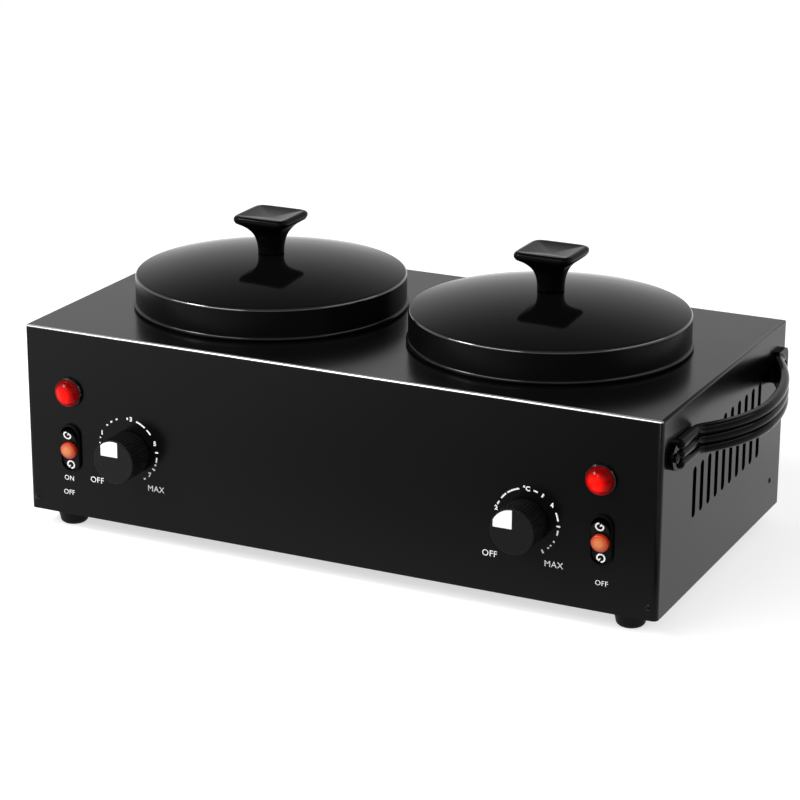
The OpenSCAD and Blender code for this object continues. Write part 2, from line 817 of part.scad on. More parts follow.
module thermostat(side) {
    color("#d8d3c6") on_front(knob_x(side), knob_up) difference() {
        union() {
            translate([0, 0, -sheet_t - stat_plate_t]) linear_extrude(stat_plate_t)
                rounded_rect(stat_w + 2 * stat_plate_over, stat_w, stat_plate_over);
            translate([0, 0, -sheet_t - stat_plate_t - stat_depth]) linear_extrude(stat_depth)
                rounded_rect(stat_w, stat_w - 2 * stat_plate_over, stat_corner_r);
            translate([0, 0, -sheet_t - stat_plate_t])
                cylinder(r = stat_bush_r, h = sheet_t + stat_plate_t + stat_bush_out);
            for (end = [-1, 0, 1])
                translate([end * stat_tab_pitch - stat_tab_w / 2, -stat_w / 2 - stat_tab_out,
                           -sheet_t - stat_depth / 2])
                    cube([stat_tab_w, stat_tab_out + stat_tab_in, stat_tab_t]);
        }
        translate([0, 0, -sheet_t - shaft_in - stat_bush_out])
            cylinder(r = shaft_d / 2 + shaft_clear, h = sheet_t + shaft_in + 2 * stat_bush_out + cut);
        for (end = [-1, 1]) translate([end * stat_screw_pitch / 2, 0, -sheet_t - stat_screw_in])
            cylinder(r = stat_screw_r + 0.05, h = stat_screw_in + cut);
    }
}

module thermostat_screws() {
    color("silver") for (side = [LEFT, RIGHT])
        at_stat_screws(side)
            pan_screw(2 * stat_screw_r, sheet_t + stat_screw_in - 1.5, stat_head_r, stat_head_h);
}

// The flat on the shaft, cut or kept back by grow
module shaft_flat_cut(grow) {
    translate([-shaft_d, shaft_d / 2 - shaft_flat + grow, knob_gap + 1])
        cube([2 * shaft_d, shaft_d, knob_len]);
}

module shaft(side) {
    color("silver") on_front(knob_x(side), knob_up) rotate([0, 0, -dial_turn(side)]) difference() {
        translate([0, 0, -sheet_t - shaft_in]) cylinder(r = shaft_d / 2, h = sheet_t + shaft_in + shaft_tip);
        shaft_flat_cut(0);
    }
}

// The pointer's outline on the knob's face, grown by a clearance: a square, cut by the face's rim,
// whose edges stand upright while the knob rests
module pointer_outline(side, grow) {
    intersection() {
        circle(knob_r - knob_chamfer - pointer_rim);
        translate([0, pointer_out]) rotate(dial_turn(side))
            square(pointer_w + 2 * grow, center = true);
    }
}

module knob(side) {
    inner_r = knob_r - flute_r - knob_wall;
    color("#19191a") on_front(knob_x(side), knob_up) rotate([0, 0, -dial_turn(side)])
    translate([0, 0, knob_gap]) difference() {
        union() {
            difference() {
                rotate_extrude() polygon([[0, 0], [knob_r, 0], [knob_r, knob_len - knob_chamfer],
                                          [knob_r - knob_chamfer, knob_len], [0, knob_len]]);
                for (i = [0 : knob_flutes - 1])
                    rotate([0, 0, 360 * (i + 0.5) / knob_flutes])
                        translate([knob_r + flute_r * 0.35, 0, -cut])
                            cylinder(r = flute_r, h = knob_len + 2 * cut, $fn = 16);
                translate([0, 0, -cut]) cylinder(r = inner_r, h = knob_len - knob_face_t + cut);
            }
            translate([0, 0, 1.7]) cylinder(r = knob_boss_d / 2, h = knob_len - knob_face_t);
        }
        translate([0, 0, -cut]) difference() {
            cylinder(r = shaft_d / 2 + shaft_clear, h = shaft_tip - knob_gap + 0.2 + cut);
            translate([0, 0, cut - knob_gap]) shaft_flat_cut(shaft_clear);
        }
        translate([0, 0, knob_len - pointer_t]) linear_extrude(pointer_t + cut) pointer_outline(side, 0.05);
    }
}

module pointer(side) {
    color("white") on_front(knob_x(side), knob_up) rotate([0, 0, -dial_turn(side)])
        translate([0, 0, knob_gap + knob_len - pointer_t]) linear_extrude(pointer_t) pointer_outline(side, 0);
}

// ---------- pilot lamps ----------

module lamp_bezel(side) {
    r = lamp_d / 2;
    seat_r = lens_d / 2 + 0.1;
    color("#141414") on_front(lamp_x(side), lamp_up) difference() {
        rotate_extrude() {
            polygon([[0, 0], [r, 0], [r, lamp_flange_h - 1], [r - 0.6, lamp_flange_h], [0, lamp_flange_h]]);
            translate([0, -sheet_t - lamp_barrel_l])
                square([lamp_barrel_d / 2, sheet_t + lamp_barrel_l + eps]);
        }
        translate([0, 0, lamp_flange_h - lens_sink]) cylinder(r = seat_r, h = lens_sink + cut);
        translate([0, 0, -8]) cylinder(r = lens_spigot_r + 0.1, h = 12);
    }
}

// A base, a ring on it, and a dome on the ring
module lamp_lens(side) {
    r = lens_d / 2;
    dome_w = r - 2 * lens_ring_in;
    base = lamp_flange_h - lens_sink;
    step = base + lens_step_h;
    foot = step + lens_ring_h;
    rise = lens_out - foot;
    cap_r = (dome_w * dome_w + rise * rise) / (2 * rise);
    color("#d81818") on_front(lamp_x(side), lamp_up) {
        translate([0, 0, base]) cylinder(r = r, h = lens_step_h);
        translate([0, 0, step - eps]) cylinder(r = r - lens_ring_in, h = lens_ring_h + eps);
        intersection() {
            translate([0, 0, lens_out - cap_r]) sphere(r = cap_r, $fn = 96);
            translate([0, 0, foot - eps]) cylinder(r = dome_w, h = rise + cut);
        }
        translate([0, 0, base - lens_spigot_h]) cylinder(r = lens_spigot_r, h = lens_spigot_h + eps);
    }
}

module lamp_nuts() {
    color("silver") for (side = [LEFT, RIGHT])
        on_front(lamp_x(side), lamp_up) translate([0, 0, -sheet_t - nut_h]) difference() {
            cylinder(r = lamp_barrel_d * 0.68, h = nut_h, $fn = 6);
            translate([0, 0, -cut]) cylinder(r = lamp_barrel_d / 2 + 0.05, h = nut_h + 2 * cut);
        }
}

// ---------- rocker switches ----------

module switch_housing(side) {
    color("#111111") on_front(switch_x(side), switch_up) difference() {
        union() {
            linear_extrude(bezel_t - 0.6) stadium(switch_w, switch_h);
            translate([0, 0, bezel_t - 0.6 - eps]) linear_extrude(0.6 + eps)
                stadium(switch_w - 1, switch_h - 1);
            translate([0, 0, -sheet_t - switch_depth]) linear_extrude(sheet_t + switch_depth + eps)
                stadium(switch_body_w, switch_body_h);
        }
        translate([0, 0, -switch_well]) linear_extrude(switch_well + bezel_t + cut)
            stadium(window_w, window_h);
        translate([-switch_body_w / 2 - cut, 0, -rocker_pivot]) rotate([0, 90, 0])
            cylinder(r = rocker_pin_r + rocker_pin_clear, h = switch_body_w + 2 * cut, $fn = 32);
    }
}

// Into the rocker's own frame: level, with z = 0 at the panel's face, tipped about its axle
module on_rocker(side) {
    on_front(switch_x(side), switch_up)
        translate([0, 0, -rocker_pivot]) rotate([rocker_tilt, 0, 0]) translate([0, 0, rocker_pivot])
            children();
}

module rocker(side) {
    half = rocker_h / 2;
    color("#0e0e0e") on_rocker(side) difference() {
        union() {
            intersection() {
                translate([0, 0, -10]) linear_extrude(20) stadium(rocker_w, rocker_h);
                rotate([90, 0, 90]) translate([0, 0, -rocker_w]) linear_extrude(2 * rocker_w)
                    polygon([[-half, rocker_end], [-half, -0.5], [-4, -7], [4, -7], [half, -0.5],
                             [half, rocker_end], [0, rocker_mid]]);
            }
            translate([-rocker_w / 2 - rocker_side_gap - 0.3, 0, -rocker_pivot]) rotate([0, 90, 0])
                cylinder(r = rocker_pin_r, h = rocker_w + 2 * rocker_side_gap + 0.6, $fn = 32);
        }
        translate([0, 0, rocker_mid - 1]) cylinder(r = rocker_lens_d / 2 + 0.05, h = 10);
    }
}

module rocker_lens(side) {
    r = rocker_lens_d / 2;
    edge = 0.9;
    rise = 1.1;
    cap_r = ((r - edge) * (r - edge) + rise * rise) / (2 * rise);
    rim_z = rocker_mid + rocker_lens_out - rise;
    color("#e08040") on_rocker(side) {
        translate([0, 0, rocker_mid - 1]) cylinder(r = r, h = rocker_lens_out + 1 - rise - edge);
        rotate_extrude() {
            translate([0, rocker_mid - 1]) square([r - edge, rim_z - rocker_mid + 1]);
            translate([r - edge, rim_z - edge]) intersection() {
                circle(edge, $fn = 32);
                translate([-r + edge, -edge]) square([r, 2 * edge]);
            }
        }
        intersection() {
            translate([0, 0, rocker_mid + rocker_lens_out - cap_r]) sphere(r = cap_r, $fn = 96);
            translate([0, 0, rim_z - eps]) cylinder(r = r - edge, h = rise + cut);
        }
    }
}

// ---------- side handles ----------

// A rib's middle above the strap's
function rib_up(i) = (i - (strap_ribs - 1) / 2) * rib_pitch;

// The strap's section, drawn with x away from the box and y up, drawn in all round by inset
module strap_section(inset) {
    translate([strap_t / 2, 0])
        rounded_rect(strap_t - 2 * inset, strap_h - 2 * inset, strap_round - inset);
    for (i = [0 : strap_ribs - 1]) translate([0, rib_up(i)]) intersection() {
        translate([rib_x, 0]) circle(rib_r - inset, $fn = 40);
        translate([inset, -rib_r]) square([2 * rib_r + strap_t, 2 * rib_r]);
    }
}

// Half of the bow, from the strap's middle towards +y: a wide arc, and a bend that is tangent to
// the arc and meets the wall at y = leave
module half_bow(leave, bend_r, inset) {
    angle = 2 * atan(handle_gap / leave);
    arc_r = leave / sin(angle) - bend_r;
    translate([handle_gap - arc_r, 0, 0]) rotate([0, 0, -seam_turn])
        rotate_extrude(angle = angle + seam_turn, $fn = 240) translate([arc_r, 0]) strap_section(inset);
    translate([bend_r, leave, 0]) rotate([0, 0, 180 - seam_turn])
        rotate_extrude(angle = angle + 2 * seam_turn, $fn = 120)
            translate([bend_r, 0]) mirror([1, 0]) strap_section(inset + seam_step);
}

// The ribs' round ends
module rib_ends(y, inset) {
    for (i = [0 : strap_ribs - 1]) translate([rib_x, y, rib_up(i)]) sphere(r = rib_r - inset, $fn = 40);
}

// What lies flat on the wall: drawn with x to the back and y up, and thick along the wall's normal
module on_wall(thick) {
    rotate([90, 0, 90]) linear_extrude(thick) children();
}

// In a frame with x out of the box, y to the back and z up, from the strap's middle
module strap() {
    rib_y = handle_front_y + rib_start;
    tip_y = handle_front_y - lug_end;
    half_bow(back_leave, back_bend_r, 0);
    mirror([0, 1, 0]) half_bow(front_leave, front_bend_r, seam_step);
    translate([0, -front_leave, 0]) rotate([90, 0, 0])
        linear_extrude(-front_leave - rib_y) strap_section(0);
    rib_ends(rib_y, seam_step);
    rib_ends(back_leave, 2 * seam_step);
    on_wall(lug_t) {
        translate([tip_y + lug_h / 2, -lug_h / 2]) square([rib_y + cut - tip_y - lug_h / 2, lug_h]);
        translate([tip_y + lug_h / 2, 0]) circle(lug_h / 2);
    }
    on_wall(lug_t) translate([handle_back_y + heel_end - heel_len / 2, 0])
        rounded_rect(heel_len, heel_h, heel_round);
}

module handle(side) {
    color("#131313") mirror([side < 0 ? 1 : 0, 0, 0])
        translate([side_x, mid_y, foot_h + handle_up]) difference() {
            strap();
            for (y = [handle_front_y, handle_back_y]) translate([-cut, y, 0]) rotate([0, 90, 0])
                cylinder(r = screw_d / 2 + screw_clear, h = lug_t + 2 * cut);
        }
}

module handle_screws() {
    color("#202020") for (side = [LEFT, RIGHT]) at_handle_screws(side) translate([0, 0, lug_t])
        rotate([0, 0, 90])
            pan_screw(screw_d, lug_t + sheet_t + nut_h + 1.5, handle_head_r, handle_head_h);
}

module handle_nuts() {
    color("silver") for (side = [LEFT, RIGHT])
        at_handle_screws(side) translate([0, 0, -sheet_t - nut_h]) hex_nut(screw_d, nut_h);
}

// ---------- power inlet ----------

module power_inlet() {
    color("#161616") on_back(0, inlet_up) difference() {
        union() {
            linear_extrude(inlet_t) rounded_rect(inlet_w, inlet_h, 4);
            translate([0, 0, -inlet_core_depth]) linear_extrude(inlet_core_depth + eps)
                inlet_outline(inlet_core_w, inlet_core_h, inlet_core_chamfer);
        }
        translate([0, 0, inlet_t - inlet_socket]) linear_extrude(inlet_socket + cut)
            inlet_outline(inlet_hollow_w, inlet_hollow_h, inlet_hollow_chamfer);
        for (end = [-1, 1]) translate([end * inlet_pitch / 2, 0, 0]) {
            translate([0, 0, -cut]) cylinder(r = inlet_screw_r + screw_clear, h = inlet_t + 2 * cut);
            translate([0, 0, inlet_t - 1.6]) cylinder(r1 = inlet_screw_r + screw_clear, r2 = 3.3, h = 1.61);
        }
        inlet_pin_shapes(0.02);
    }
}

// The three pins, grown all round by a clearance where they are cut out
module inlet_pin_shapes(grow) {
    for (i = [-1, 0, 1]) translate([i * inlet_pin_pitch, i == 0 ? inlet_earth_rise : -inlet_earth_rise, 0]) {
        w = inlet_pin_w + 2 * grow;
        h = inlet_pin_h + 2 * grow;
        translate([-w / 2, -h / 2, -inlet_core_depth - 8])
            cube([w, h, inlet_core_depth + 8 + inlet_t - inlet_pin_short]);
    }
}

module inlet_pins() {
    color("#c9b26a") on_back(0, inlet_up) inlet_pin_shapes(0);
}

module inlet_screws() {
    color("silver") on_back(0, inlet_up) for (end = [-1, 1])
        translate([end * inlet_pitch / 2, 0, 0]) {
            translate([0, 0, -6]) cylinder(r = inlet_screw_r, h = 6 + inlet_t - 1.5);
            translate([0, 0, inlet_t - 1.6]) cylinder(r1 = inlet_screw_r, r2 = 3.1, h = 1.6);
        }
}

block_w = 42;
block_d = 22;
block_h = 18;
block_ways = 4;
block_in = 62;          // the terminal block's middle from the box's back

module terminal_block() {
    color("#e6e2d6") translate([0, back_y - block_in, foot_h + pan_t]) difference() {
        translate([-block_w / 2, -block_d / 2, 0]) cube([block_w, block_d, block_h]);
        for (i = [0 : block_ways - 1])
            translate([(i - (block_ways - 1) / 2) * block_w / block_ways, 0, 0]) {
                translate([0, -block_d / 2 - cut, 6]) rotate([-90, 0, 0])
                    cylinder(r = 2.2, h = block_d + 2 * cut);
                for (end = [-1, 1]) translate([0, end * block_d / 4, 6]) cylinder(r = 2, h = block_h);
            }
    }
}

housing();
base_pan();
rubber_feet();
foot_screws();
foot_nuts();
base_screws();
well(LEFT);  // left_well
well(RIGHT);  // right_well
heater_band(LEFT);  // left_heater_band
heater_band(RIGHT);  // right_heater_band
heat_shield(LEFT);  // left_heat_shield
heat_shield(RIGHT);  // right_heat_shield
cutout(LEFT);  // left_cutout
cutout(RIGHT);  // right_cutout
pot(LEFT);  // left_pot
pot(RIGHT);  // right_pot
lid(LEFT);  // left_lid
lid(RIGHT);  // right_lid
lid_knob(LEFT);  // left_lid_knob
lid_knob(RIGHT);  // right_lid_knob
lid_screw(LEFT);  // left_lid_screw
lid_screw(RIGHT);  // right_lid_screw
thermostat(LEFT);  // left_thermostat
thermostat(RIGHT);  // right_thermostat
thermostat_screws();
shaft(LEFT);  // left_shaft
shaft(RIGHT);  // right_shaft
knob(LEFT);  // left_knob
knob(RIGHT);  // right_knob
pointer(LEFT);  // left_pointer
pointer(RIGHT);  // right_pointer
lamp_bezel(LEFT);  // left_lamp_bezel
lamp_bezel(RIGHT);  // right_lamp_bezel
lamp_lens(LEFT);  // left_lamp_lens
lamp_lens(RIGHT);  // right_lamp_lens
lamp_nuts();
switch_housing(LEFT);  // left_switch
switch_housing(RIGHT);  // right_switch
rocker(LEFT);  // left_rocker
rocker(RIGHT);  // right_rocker
rocker_lens(LEFT);  // left_rocker_lens
rocker_lens(RIGHT);  // right_rocker_lens
handle(LEFT);  // left_handle
handle(RIGHT);  // right_handle
handle_screws();
handle_nuts();
power_inlet();
inlet_pins();
inlet_screws();
terminal_block();
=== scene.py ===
"""Dresses the twin-pot wax heater: finishes, fine pieces, floor, light and camera.

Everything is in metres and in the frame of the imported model: +Z is up, the controls face -Y and
the origin is the middle of the footprint, on the floor.
"""

import enum
import logging
import math
from dataclasses import dataclass, replace
from typing import Sequence, Union

import bmesh
import bpy
from mathutils import Matrix, Vector


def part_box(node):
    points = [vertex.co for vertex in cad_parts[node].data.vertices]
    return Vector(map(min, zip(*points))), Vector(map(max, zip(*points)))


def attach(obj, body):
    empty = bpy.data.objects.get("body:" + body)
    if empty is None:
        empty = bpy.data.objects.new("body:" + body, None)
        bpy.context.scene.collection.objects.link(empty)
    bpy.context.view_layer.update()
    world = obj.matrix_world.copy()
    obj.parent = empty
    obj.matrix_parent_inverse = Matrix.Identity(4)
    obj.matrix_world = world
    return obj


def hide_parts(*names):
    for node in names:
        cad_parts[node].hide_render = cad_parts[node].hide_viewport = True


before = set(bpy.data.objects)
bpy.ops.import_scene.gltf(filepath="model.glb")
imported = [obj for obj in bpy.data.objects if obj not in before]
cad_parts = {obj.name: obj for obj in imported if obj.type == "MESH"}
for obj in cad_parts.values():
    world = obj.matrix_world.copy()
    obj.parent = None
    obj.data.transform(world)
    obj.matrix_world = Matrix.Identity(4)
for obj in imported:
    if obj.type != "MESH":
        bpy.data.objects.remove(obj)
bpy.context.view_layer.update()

log = logging.getLogger("wax_heater")

MM = 0.001
Colour = tuple[float, float, float]
Point2 = tuple[float, float]
Point3 = tuple[float, float, float]

TINT_DARK = 0.86         # how dark a finish's darker patches are
TINT_CLOUD = 30.0 * MM   # the size of those patches
GLOSS_CLOUD = 45.0 * MM  # the size of the clouds in the gloss
WELD = 1e-6              # metres between points that are one
FINE_WELD = 1e-7
FLAT_ANGLE = 0.2         # degrees between faces that are one
ARC_STEP = 5.0           # degrees to one stretch of a printed arc
TEXT_CURVE = 4           # stretches to one curve of a letter
BEVEL_STEPS = 2
DISH_ANGLE = 7.0         # degrees between the faces that meet in a dish's crease
LEVEL = 0.9              # the least Z of the normal of a face that counts as level
FORWARD = 0.8            # the least part of a normal towards the front of a face that faces it
CAPITAL_SHARE = 0.73     # a capital's height as a share of the font's size
LETTER_SPACE = 1.06      # how far letters stand apart, as a share of their usual step
PRINT_OUT = 0.12 * MM    # how far print stands out


class Side(enum.Enum):
    """The two halves of the heater, seen from the front."""

    LEFT = "left"
    RIGHT = "right"

    def node(self, name: str) -> str:
        """Returns the full name of this side's node."""
        return f"{self.value}_{name}"


# ---------- shader graphs ----------


class Wire:
    """A value in a shader graph that takes part in sums as a number would."""

    def __init__(self, graph: "Graph", socket: bpy.types.NodeSocket) -> None:
        """Wraps a socket of a graph."""
        self.graph = graph
        self.socket = socket

    def __add__(self, other: "Value") -> "Wire":
        """Returns self + other."""
        return self.graph.math("ADD", self, other)

    def __sub__(self, other: "Value") -> "Wire":
        """Returns self - other."""
        return self.graph.math("SUBTRACT", self, other)

    def __mul__(self, other: "Value") -> "Wire":
        """Returns self * other."""
        return self.graph.math("MULTIPLY", self, other)

    def __pow__(self, other: "Value") -> "Wire":
        """Returns self to the power of other."""
        return self.graph.math("POWER", self, other)


Value = Union[Wire, float]


class Graph:
    """The node tree of a material or world, written as expressions."""

    def __init__(self, tree: bpy.types.NodeTree) -> None:
        """Empties the tree and starts afresh."""
        tree.nodes.clear()
        self.tree = tree

    def node(self, kind: str, settings: dict | None = None,
             **inputs: object) -> bpy.types.Node:
        """Adds a node.

        Args:
            kind: the node's type.
            settings: attributes to set first.
            inputs: values or wires by the socket's name, with spaces as underscores, or by its
                number, as in_0, in_1.

        Returns:
            The new node.
        """
        made = self.tree.nodes.new(kind)
        for name, value in (settings or {}).items():
            setattr(made, name, value)
        for name, value in inputs.items():
            if name.startswith("in_"):
                socket = made.inputs[int(name[3:])]
            else:
                socket = made.inputs[name.replace("_", " ")]
            self.plug(value, socket)
        return made

    def plug(self, value: object, socket: bpy.types.NodeSocket) -> None:
        """Links a wire to a socket, or sets the socket's own value."""
        if isinstance(value, Wire):
            self.tree.links.new(value.socket, socket)
        elif isinstance(value, tuple) and len(value) == 3 and socket.type == "RGBA":
            socket.default_value = (*value, 1.0)
        else:
            socket.default_value = value

    def out(self, made: bpy.types.Node, name: str | int = 0) -> Wire:
        """Returns an output of a node as a wire."""
        return Wire(self, made.outputs[name])

    def math(self, operation: str, a: Value, b: Value = 0.0, clamp: bool = False) -> Wire:
        """Returns a Math node's result."""
        settings = {"operation": operation, "use_clamp": clamp}
        return self.out(self.node("ShaderNodeMath", settings, in_0=a, in_1=b))

    def place(self) -> Wire:
        """Returns the point on the piece, in metres, in the heater's own frame."""
        return self.out(self.node("ShaderNodeTexCoord"), "Object")

    def noise(self, size: float, detail: float = 2.0,
              stretch: Point3 = (1.0, 1.0, 1.0)) -> Wire:
        """Returns noise from 0 to 1.

        Args:
            size: the size of its grain, in metres.
            detail: how many finer layers it has.
            stretch: how much denser the grain is along each axis.

        Returns:
            The noise.
        """
        mapped = self.node("ShaderNodeMapping", Vector=self.place(), Scale=stretch)
        made = self.node("ShaderNodeTexNoise", Vector=self.out(mapped), Scale=1.0 / size,
                         Detail=detail)
        return self.out(made, "Fac")

    def mix(self, factor: Value, a: object, b: object) -> Wire:
        """Returns a colour between a and b."""
        made = self.node("ShaderNodeMix", {"data_type": "RGBA"})
        self.plug(factor, made.inputs[0])
        self.plug(a, made.inputs[6])
        self.plug(b, made.inputs[7])
        return self.out(made, 2)

    def fit(self, value: Value, low: float, high: float, to_low: float = 0.0,
            to_high: float = 1.0) -> Wire:
        """Takes a range smoothly to another one, and holds its ends.

        Args:
            value: what is taken over.
            low: where its range starts.
            high: where its range ends.
            to_low: what low becomes.
            to_high: what high becomes.

        Returns:
            The new value.
        """
        made = self.node("ShaderNodeMapRange", {"interpolation_type": "SMOOTHSTEP"}, Value=value,
                         From_Min=low, From_Max=high, To_Min=to_low, To_Max=to_high)
        return self.out(made)

    def parts(self, vector: Wire) -> tuple[Wire, Wire, Wire]:
        """Returns the x, y and z of a vector."""
        made = self.node("ShaderNodeSeparateXYZ", Vector=vector)
        return self.out(made, 0), self.out(made, 1), self.out(made, 2)


# ---------- finishes ----------


@dataclass(frozen=True)
class Finish:
    """A surface of one colour and gloss, with a fine grain."""

    name: str
    slot: str
    colour: Colour
    roughness: float
    metallic: float = 0.0
    ior: float = 1.45
    grain: float = 0.0006
    grain_depth: float = 0.00002
    unevenness: float = 0.03

    def material(self) -> bpy.types.Material:
        """Returns the finish's material, made the first time it is asked for."""
        known = bpy.data.materials.get(self.name)
        if known is not None:
            return known
        made = bpy.data.materials.new(self.name)
        made.use_nodes = True
        made.diffuse_color = (*self.colour, 1.0)
        graph = Graph(made.node_tree)
        graph.node("ShaderNodeOutputMaterial", Surface=self.surface(graph))
        return made

    def surface(self, graph: Graph) -> Wire:
        """Returns the whole surface, ready for the material's output."""
        return graph.out(self.shader(graph, self.ior, self.gloss(graph)))

    def shader(self, graph: Graph, ior: float, gloss: Value) -> bpy.types.Node:
        """Adds the surface's shader.

        Args:
            graph: the material's graph.
            ior: how strongly the surface mirrors.
            gloss: its roughness.

        Returns:
            The shader's node.
        """
        made = graph.node("ShaderNodeBsdfPrincipled", Base_Color=self.tint(graph),
                          Roughness=gloss, Metallic=self.metal(graph), IOR=ior)
        relief = self.relief(graph)
        if relief is not None:
            graph.plug(relief, made.inputs["Normal"])
        self.glow(graph, made)
        return made

    def metal(self, graph: Graph) -> Value:
        """Returns how far the surface is bare metal."""
        return self.metallic

    def tint(self, graph: Graph) -> object:
        """Returns the colour, a little uneven from place to place."""
        dark = tuple(TINT_DARK * part for part in self.colour)
        return graph.mix(graph.noise(TINT_CLOUD, 3.0), dark, self.colour)

    def gloss(self, graph: Graph) -> Value:
        """Returns the roughness, with faint clouds in it."""
        cloud = graph.noise(GLOSS_CLOUD, 4.0)
        return cloud * (2.0 * self.unevenness) + (self.roughness - self.unevenness)

    def relief(self, graph: Graph) -> Wire | None:
        """Returns the normal of the fine grain."""
        if self.grain_depth <= 0.0:
            return None
        bump = graph.node("ShaderNodeBump", Strength=1.0, Distance=self.grain_depth,
                          Height=graph.noise(self.grain, 2.0))
        return graph.out(bump)

    def glow(self, graph: Graph, shader: bpy.types.Node) -> None:
        """Adds what the surface gives off, which is nothing here."""


@dataclass(frozen=True)
class PowderCoat(Finish):
    """Satin black paint, with a painted highlight along the fold between the front and the top: a
    light grey, metallic line in place of a lamp's reflection.
    """

    # The fold's painted highlight: its colour, how far it reaches down and in, and its strength.
    fold_highlight_colour: Colour = (0.62, 0.62, 0.63)
    fold_up: Point2 = (-1.5 * MM, -0.9 * MM)
    fold_in: Point2 = (1.2 * MM, 1.9 * MM)
    fold_highlight_strength: float = 0.85

    def fold_highlight_mask(self, graph: Graph) -> Wire:
        """Returns the painted highlight's strength on the line of the fold, and 0 away from it."""
        low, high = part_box("housing")
        _, y, z = graph.parts(graph.place())
        up = graph.fit(z, *(high.z + part for part in self.fold_up))
        near = graph.fit(y, *(low.y + part for part in self.fold_in), self.fold_highlight_strength, 0.0)
        return up * near

    def tint(self, graph: Graph) -> object:
        """Returns the paint's colour, and the painted highlight's light grey on the fold."""
        return graph.mix(self.fold_highlight_mask(graph), super().tint(graph), self.fold_highlight_colour)

    def metal(self, graph: Graph) -> Value:
        """Returns how far the fold is made metallic, as part of its painted highlight."""
        return self.fold_highlight_mask(graph)


@dataclass(frozen=True)
class LidEnamel(Finish):
    """Deep black enamel: a quiet dome, a satin skirt, and a glossy bead at rim and hem."""

    foot: float = 0.0
    rim: float = 0.0
    centre: Point2 = (0.0, 0.0)
    radius: float = 0.0
    skirt_roughness: float = 0.30
    skirt_ior: float = 1.17
    bead_roughness: float = 0.10
    bead_ior: float = 1.7
    hem_share: float = 0.3
    skirt_under: Point2 = (-1.0 * MM, -3.0 * MM)
    bead_out: Point2 = (-2.2 * MM, -1.4 * MM)
    bead_up: Point2 = (-1.4 * MM, -0.9 * MM)
    bead_top: Point2 = (0.3 * MM, 0.0)
    hem_up: Point2 = (3.2 * MM, 2.6 * MM)

    def surface(self, graph: Graph) -> Wire:
        """Returns the dome's surface, blended to the skirt's and to the beads'."""
        dome = graph.out(self.shader(graph, self.ior, self.gloss(graph)))
        skirt = graph.out(self.shader(graph, self.skirt_ior, self.skirt_roughness))
        bead = graph.out(self.shader(graph, self.bead_ior, self.bead_roughness))
        x, y, z = graph.parts(graph.place())
        dx = x - self.centre[0]
        dy = y - self.centre[1]
        out = (dx * dx + dy * dy) ** 0.5
        below = graph.fit(z, *(self.rim + part for part in self.skirt_under))
        wall = graph.node("ShaderNodeMixShader", Fac=below, in_1=dome, in_2=skirt)
        on_rim = (graph.fit(out, *(self.radius + part for part in self.bead_out))
                  * graph.fit(z, *(self.rim + part for part in self.bead_up))
                  * graph.fit(z, *(self.rim + part for part in self.bead_top)))
        on_hem = graph.fit(z, *(self.foot + part for part in self.hem_up), 0.0, self.hem_share)
        beads = graph.math("MAXIMUM", on_rim, on_hem)
        whole = graph.node("ShaderNodeMixShader", Fac=beads, in_1=graph.out(wall), in_2=bead)
        return graph.out(whole)


@dataclass(frozen=True)
class Brushed(Finish):
    """Metal with fine lines that run along one axis."""

    lines: Point3 = (1.0, 1.0, 0.03)

    def relief(self, graph: Graph) -> Wire | None:
        """Returns the normal of the brushed lines."""
        bump = graph.node("ShaderNodeBump", Strength=1.0, Distance=self.grain_depth,
                          Height=graph.noise(self.grain, 3.0, self.lines))
        return graph.out(bump)


@dataclass(frozen=True)
class LitLens(Finish):
    """A coloured lens with a lamp behind it, brightest round a spot on its face."""

    edge: Colour = (0.3, 0.0, 0.0)
    light: float = 1.0
    centre: Point3 = (0.0, 0.0, 0.0)
    spot: Point2 = (0.0, 0.0)
    reach: float = 9.0 * MM
    tint_core: float = 0.2
    glow_core: float = 0.1
    ring_pitch: float = 1.7 * MM
    ring_depth: float = 0.00002

    def out_from(self, graph: Graph, spot: Point2) -> Wire:
        """Returns the distance on the face from a spot, given across and up from the middle."""
        x, _, z = graph.parts(graph.place())
        dx = x - (self.centre[0] + spot[0])
        dz = z - (self.centre[2] + spot[1])
        return (dx * dx + dz * dz) ** 0.5

    def tint(self, graph: Graph) -> object:
        """Returns the lens colour, deeper at the edge."""
        away = self.out_from(graph, self.spot)
        deep = graph.fit(away, self.tint_core * self.reach, self.reach)
        return graph.mix(deep, self.colour, self.edge)

    def relief(self, graph: Graph) -> Wire | None:
        """Returns the normal of the rings that are moulded into the lens."""
        if self.ring_depth <= 0.0:
            return None
        turns = self.out_from(graph, (0.0, 0.0)) * (2.0 * math.pi / self.ring_pitch)
        wave = graph.math("COSINE", turns)
        bump = graph.node("ShaderNodeBump", Strength=1.0, Distance=self.ring_depth, Height=wave)
        return graph.out(bump)

    def glow(self, graph: Graph, shader: bpy.types.Node) -> None:
        """Adds the lamp's light, which fades towards the edge."""
        away = self.out_from(graph, self.spot)
        fade = graph.fit(away, self.glow_core * self.reach, self.reach, 1.0, 0.0)
        graph.plug(graph.mix(fade, self.edge, self.colour), shader.inputs["Emission Color"])
        graph.plug(self.light, shader.inputs["Emission Strength"])
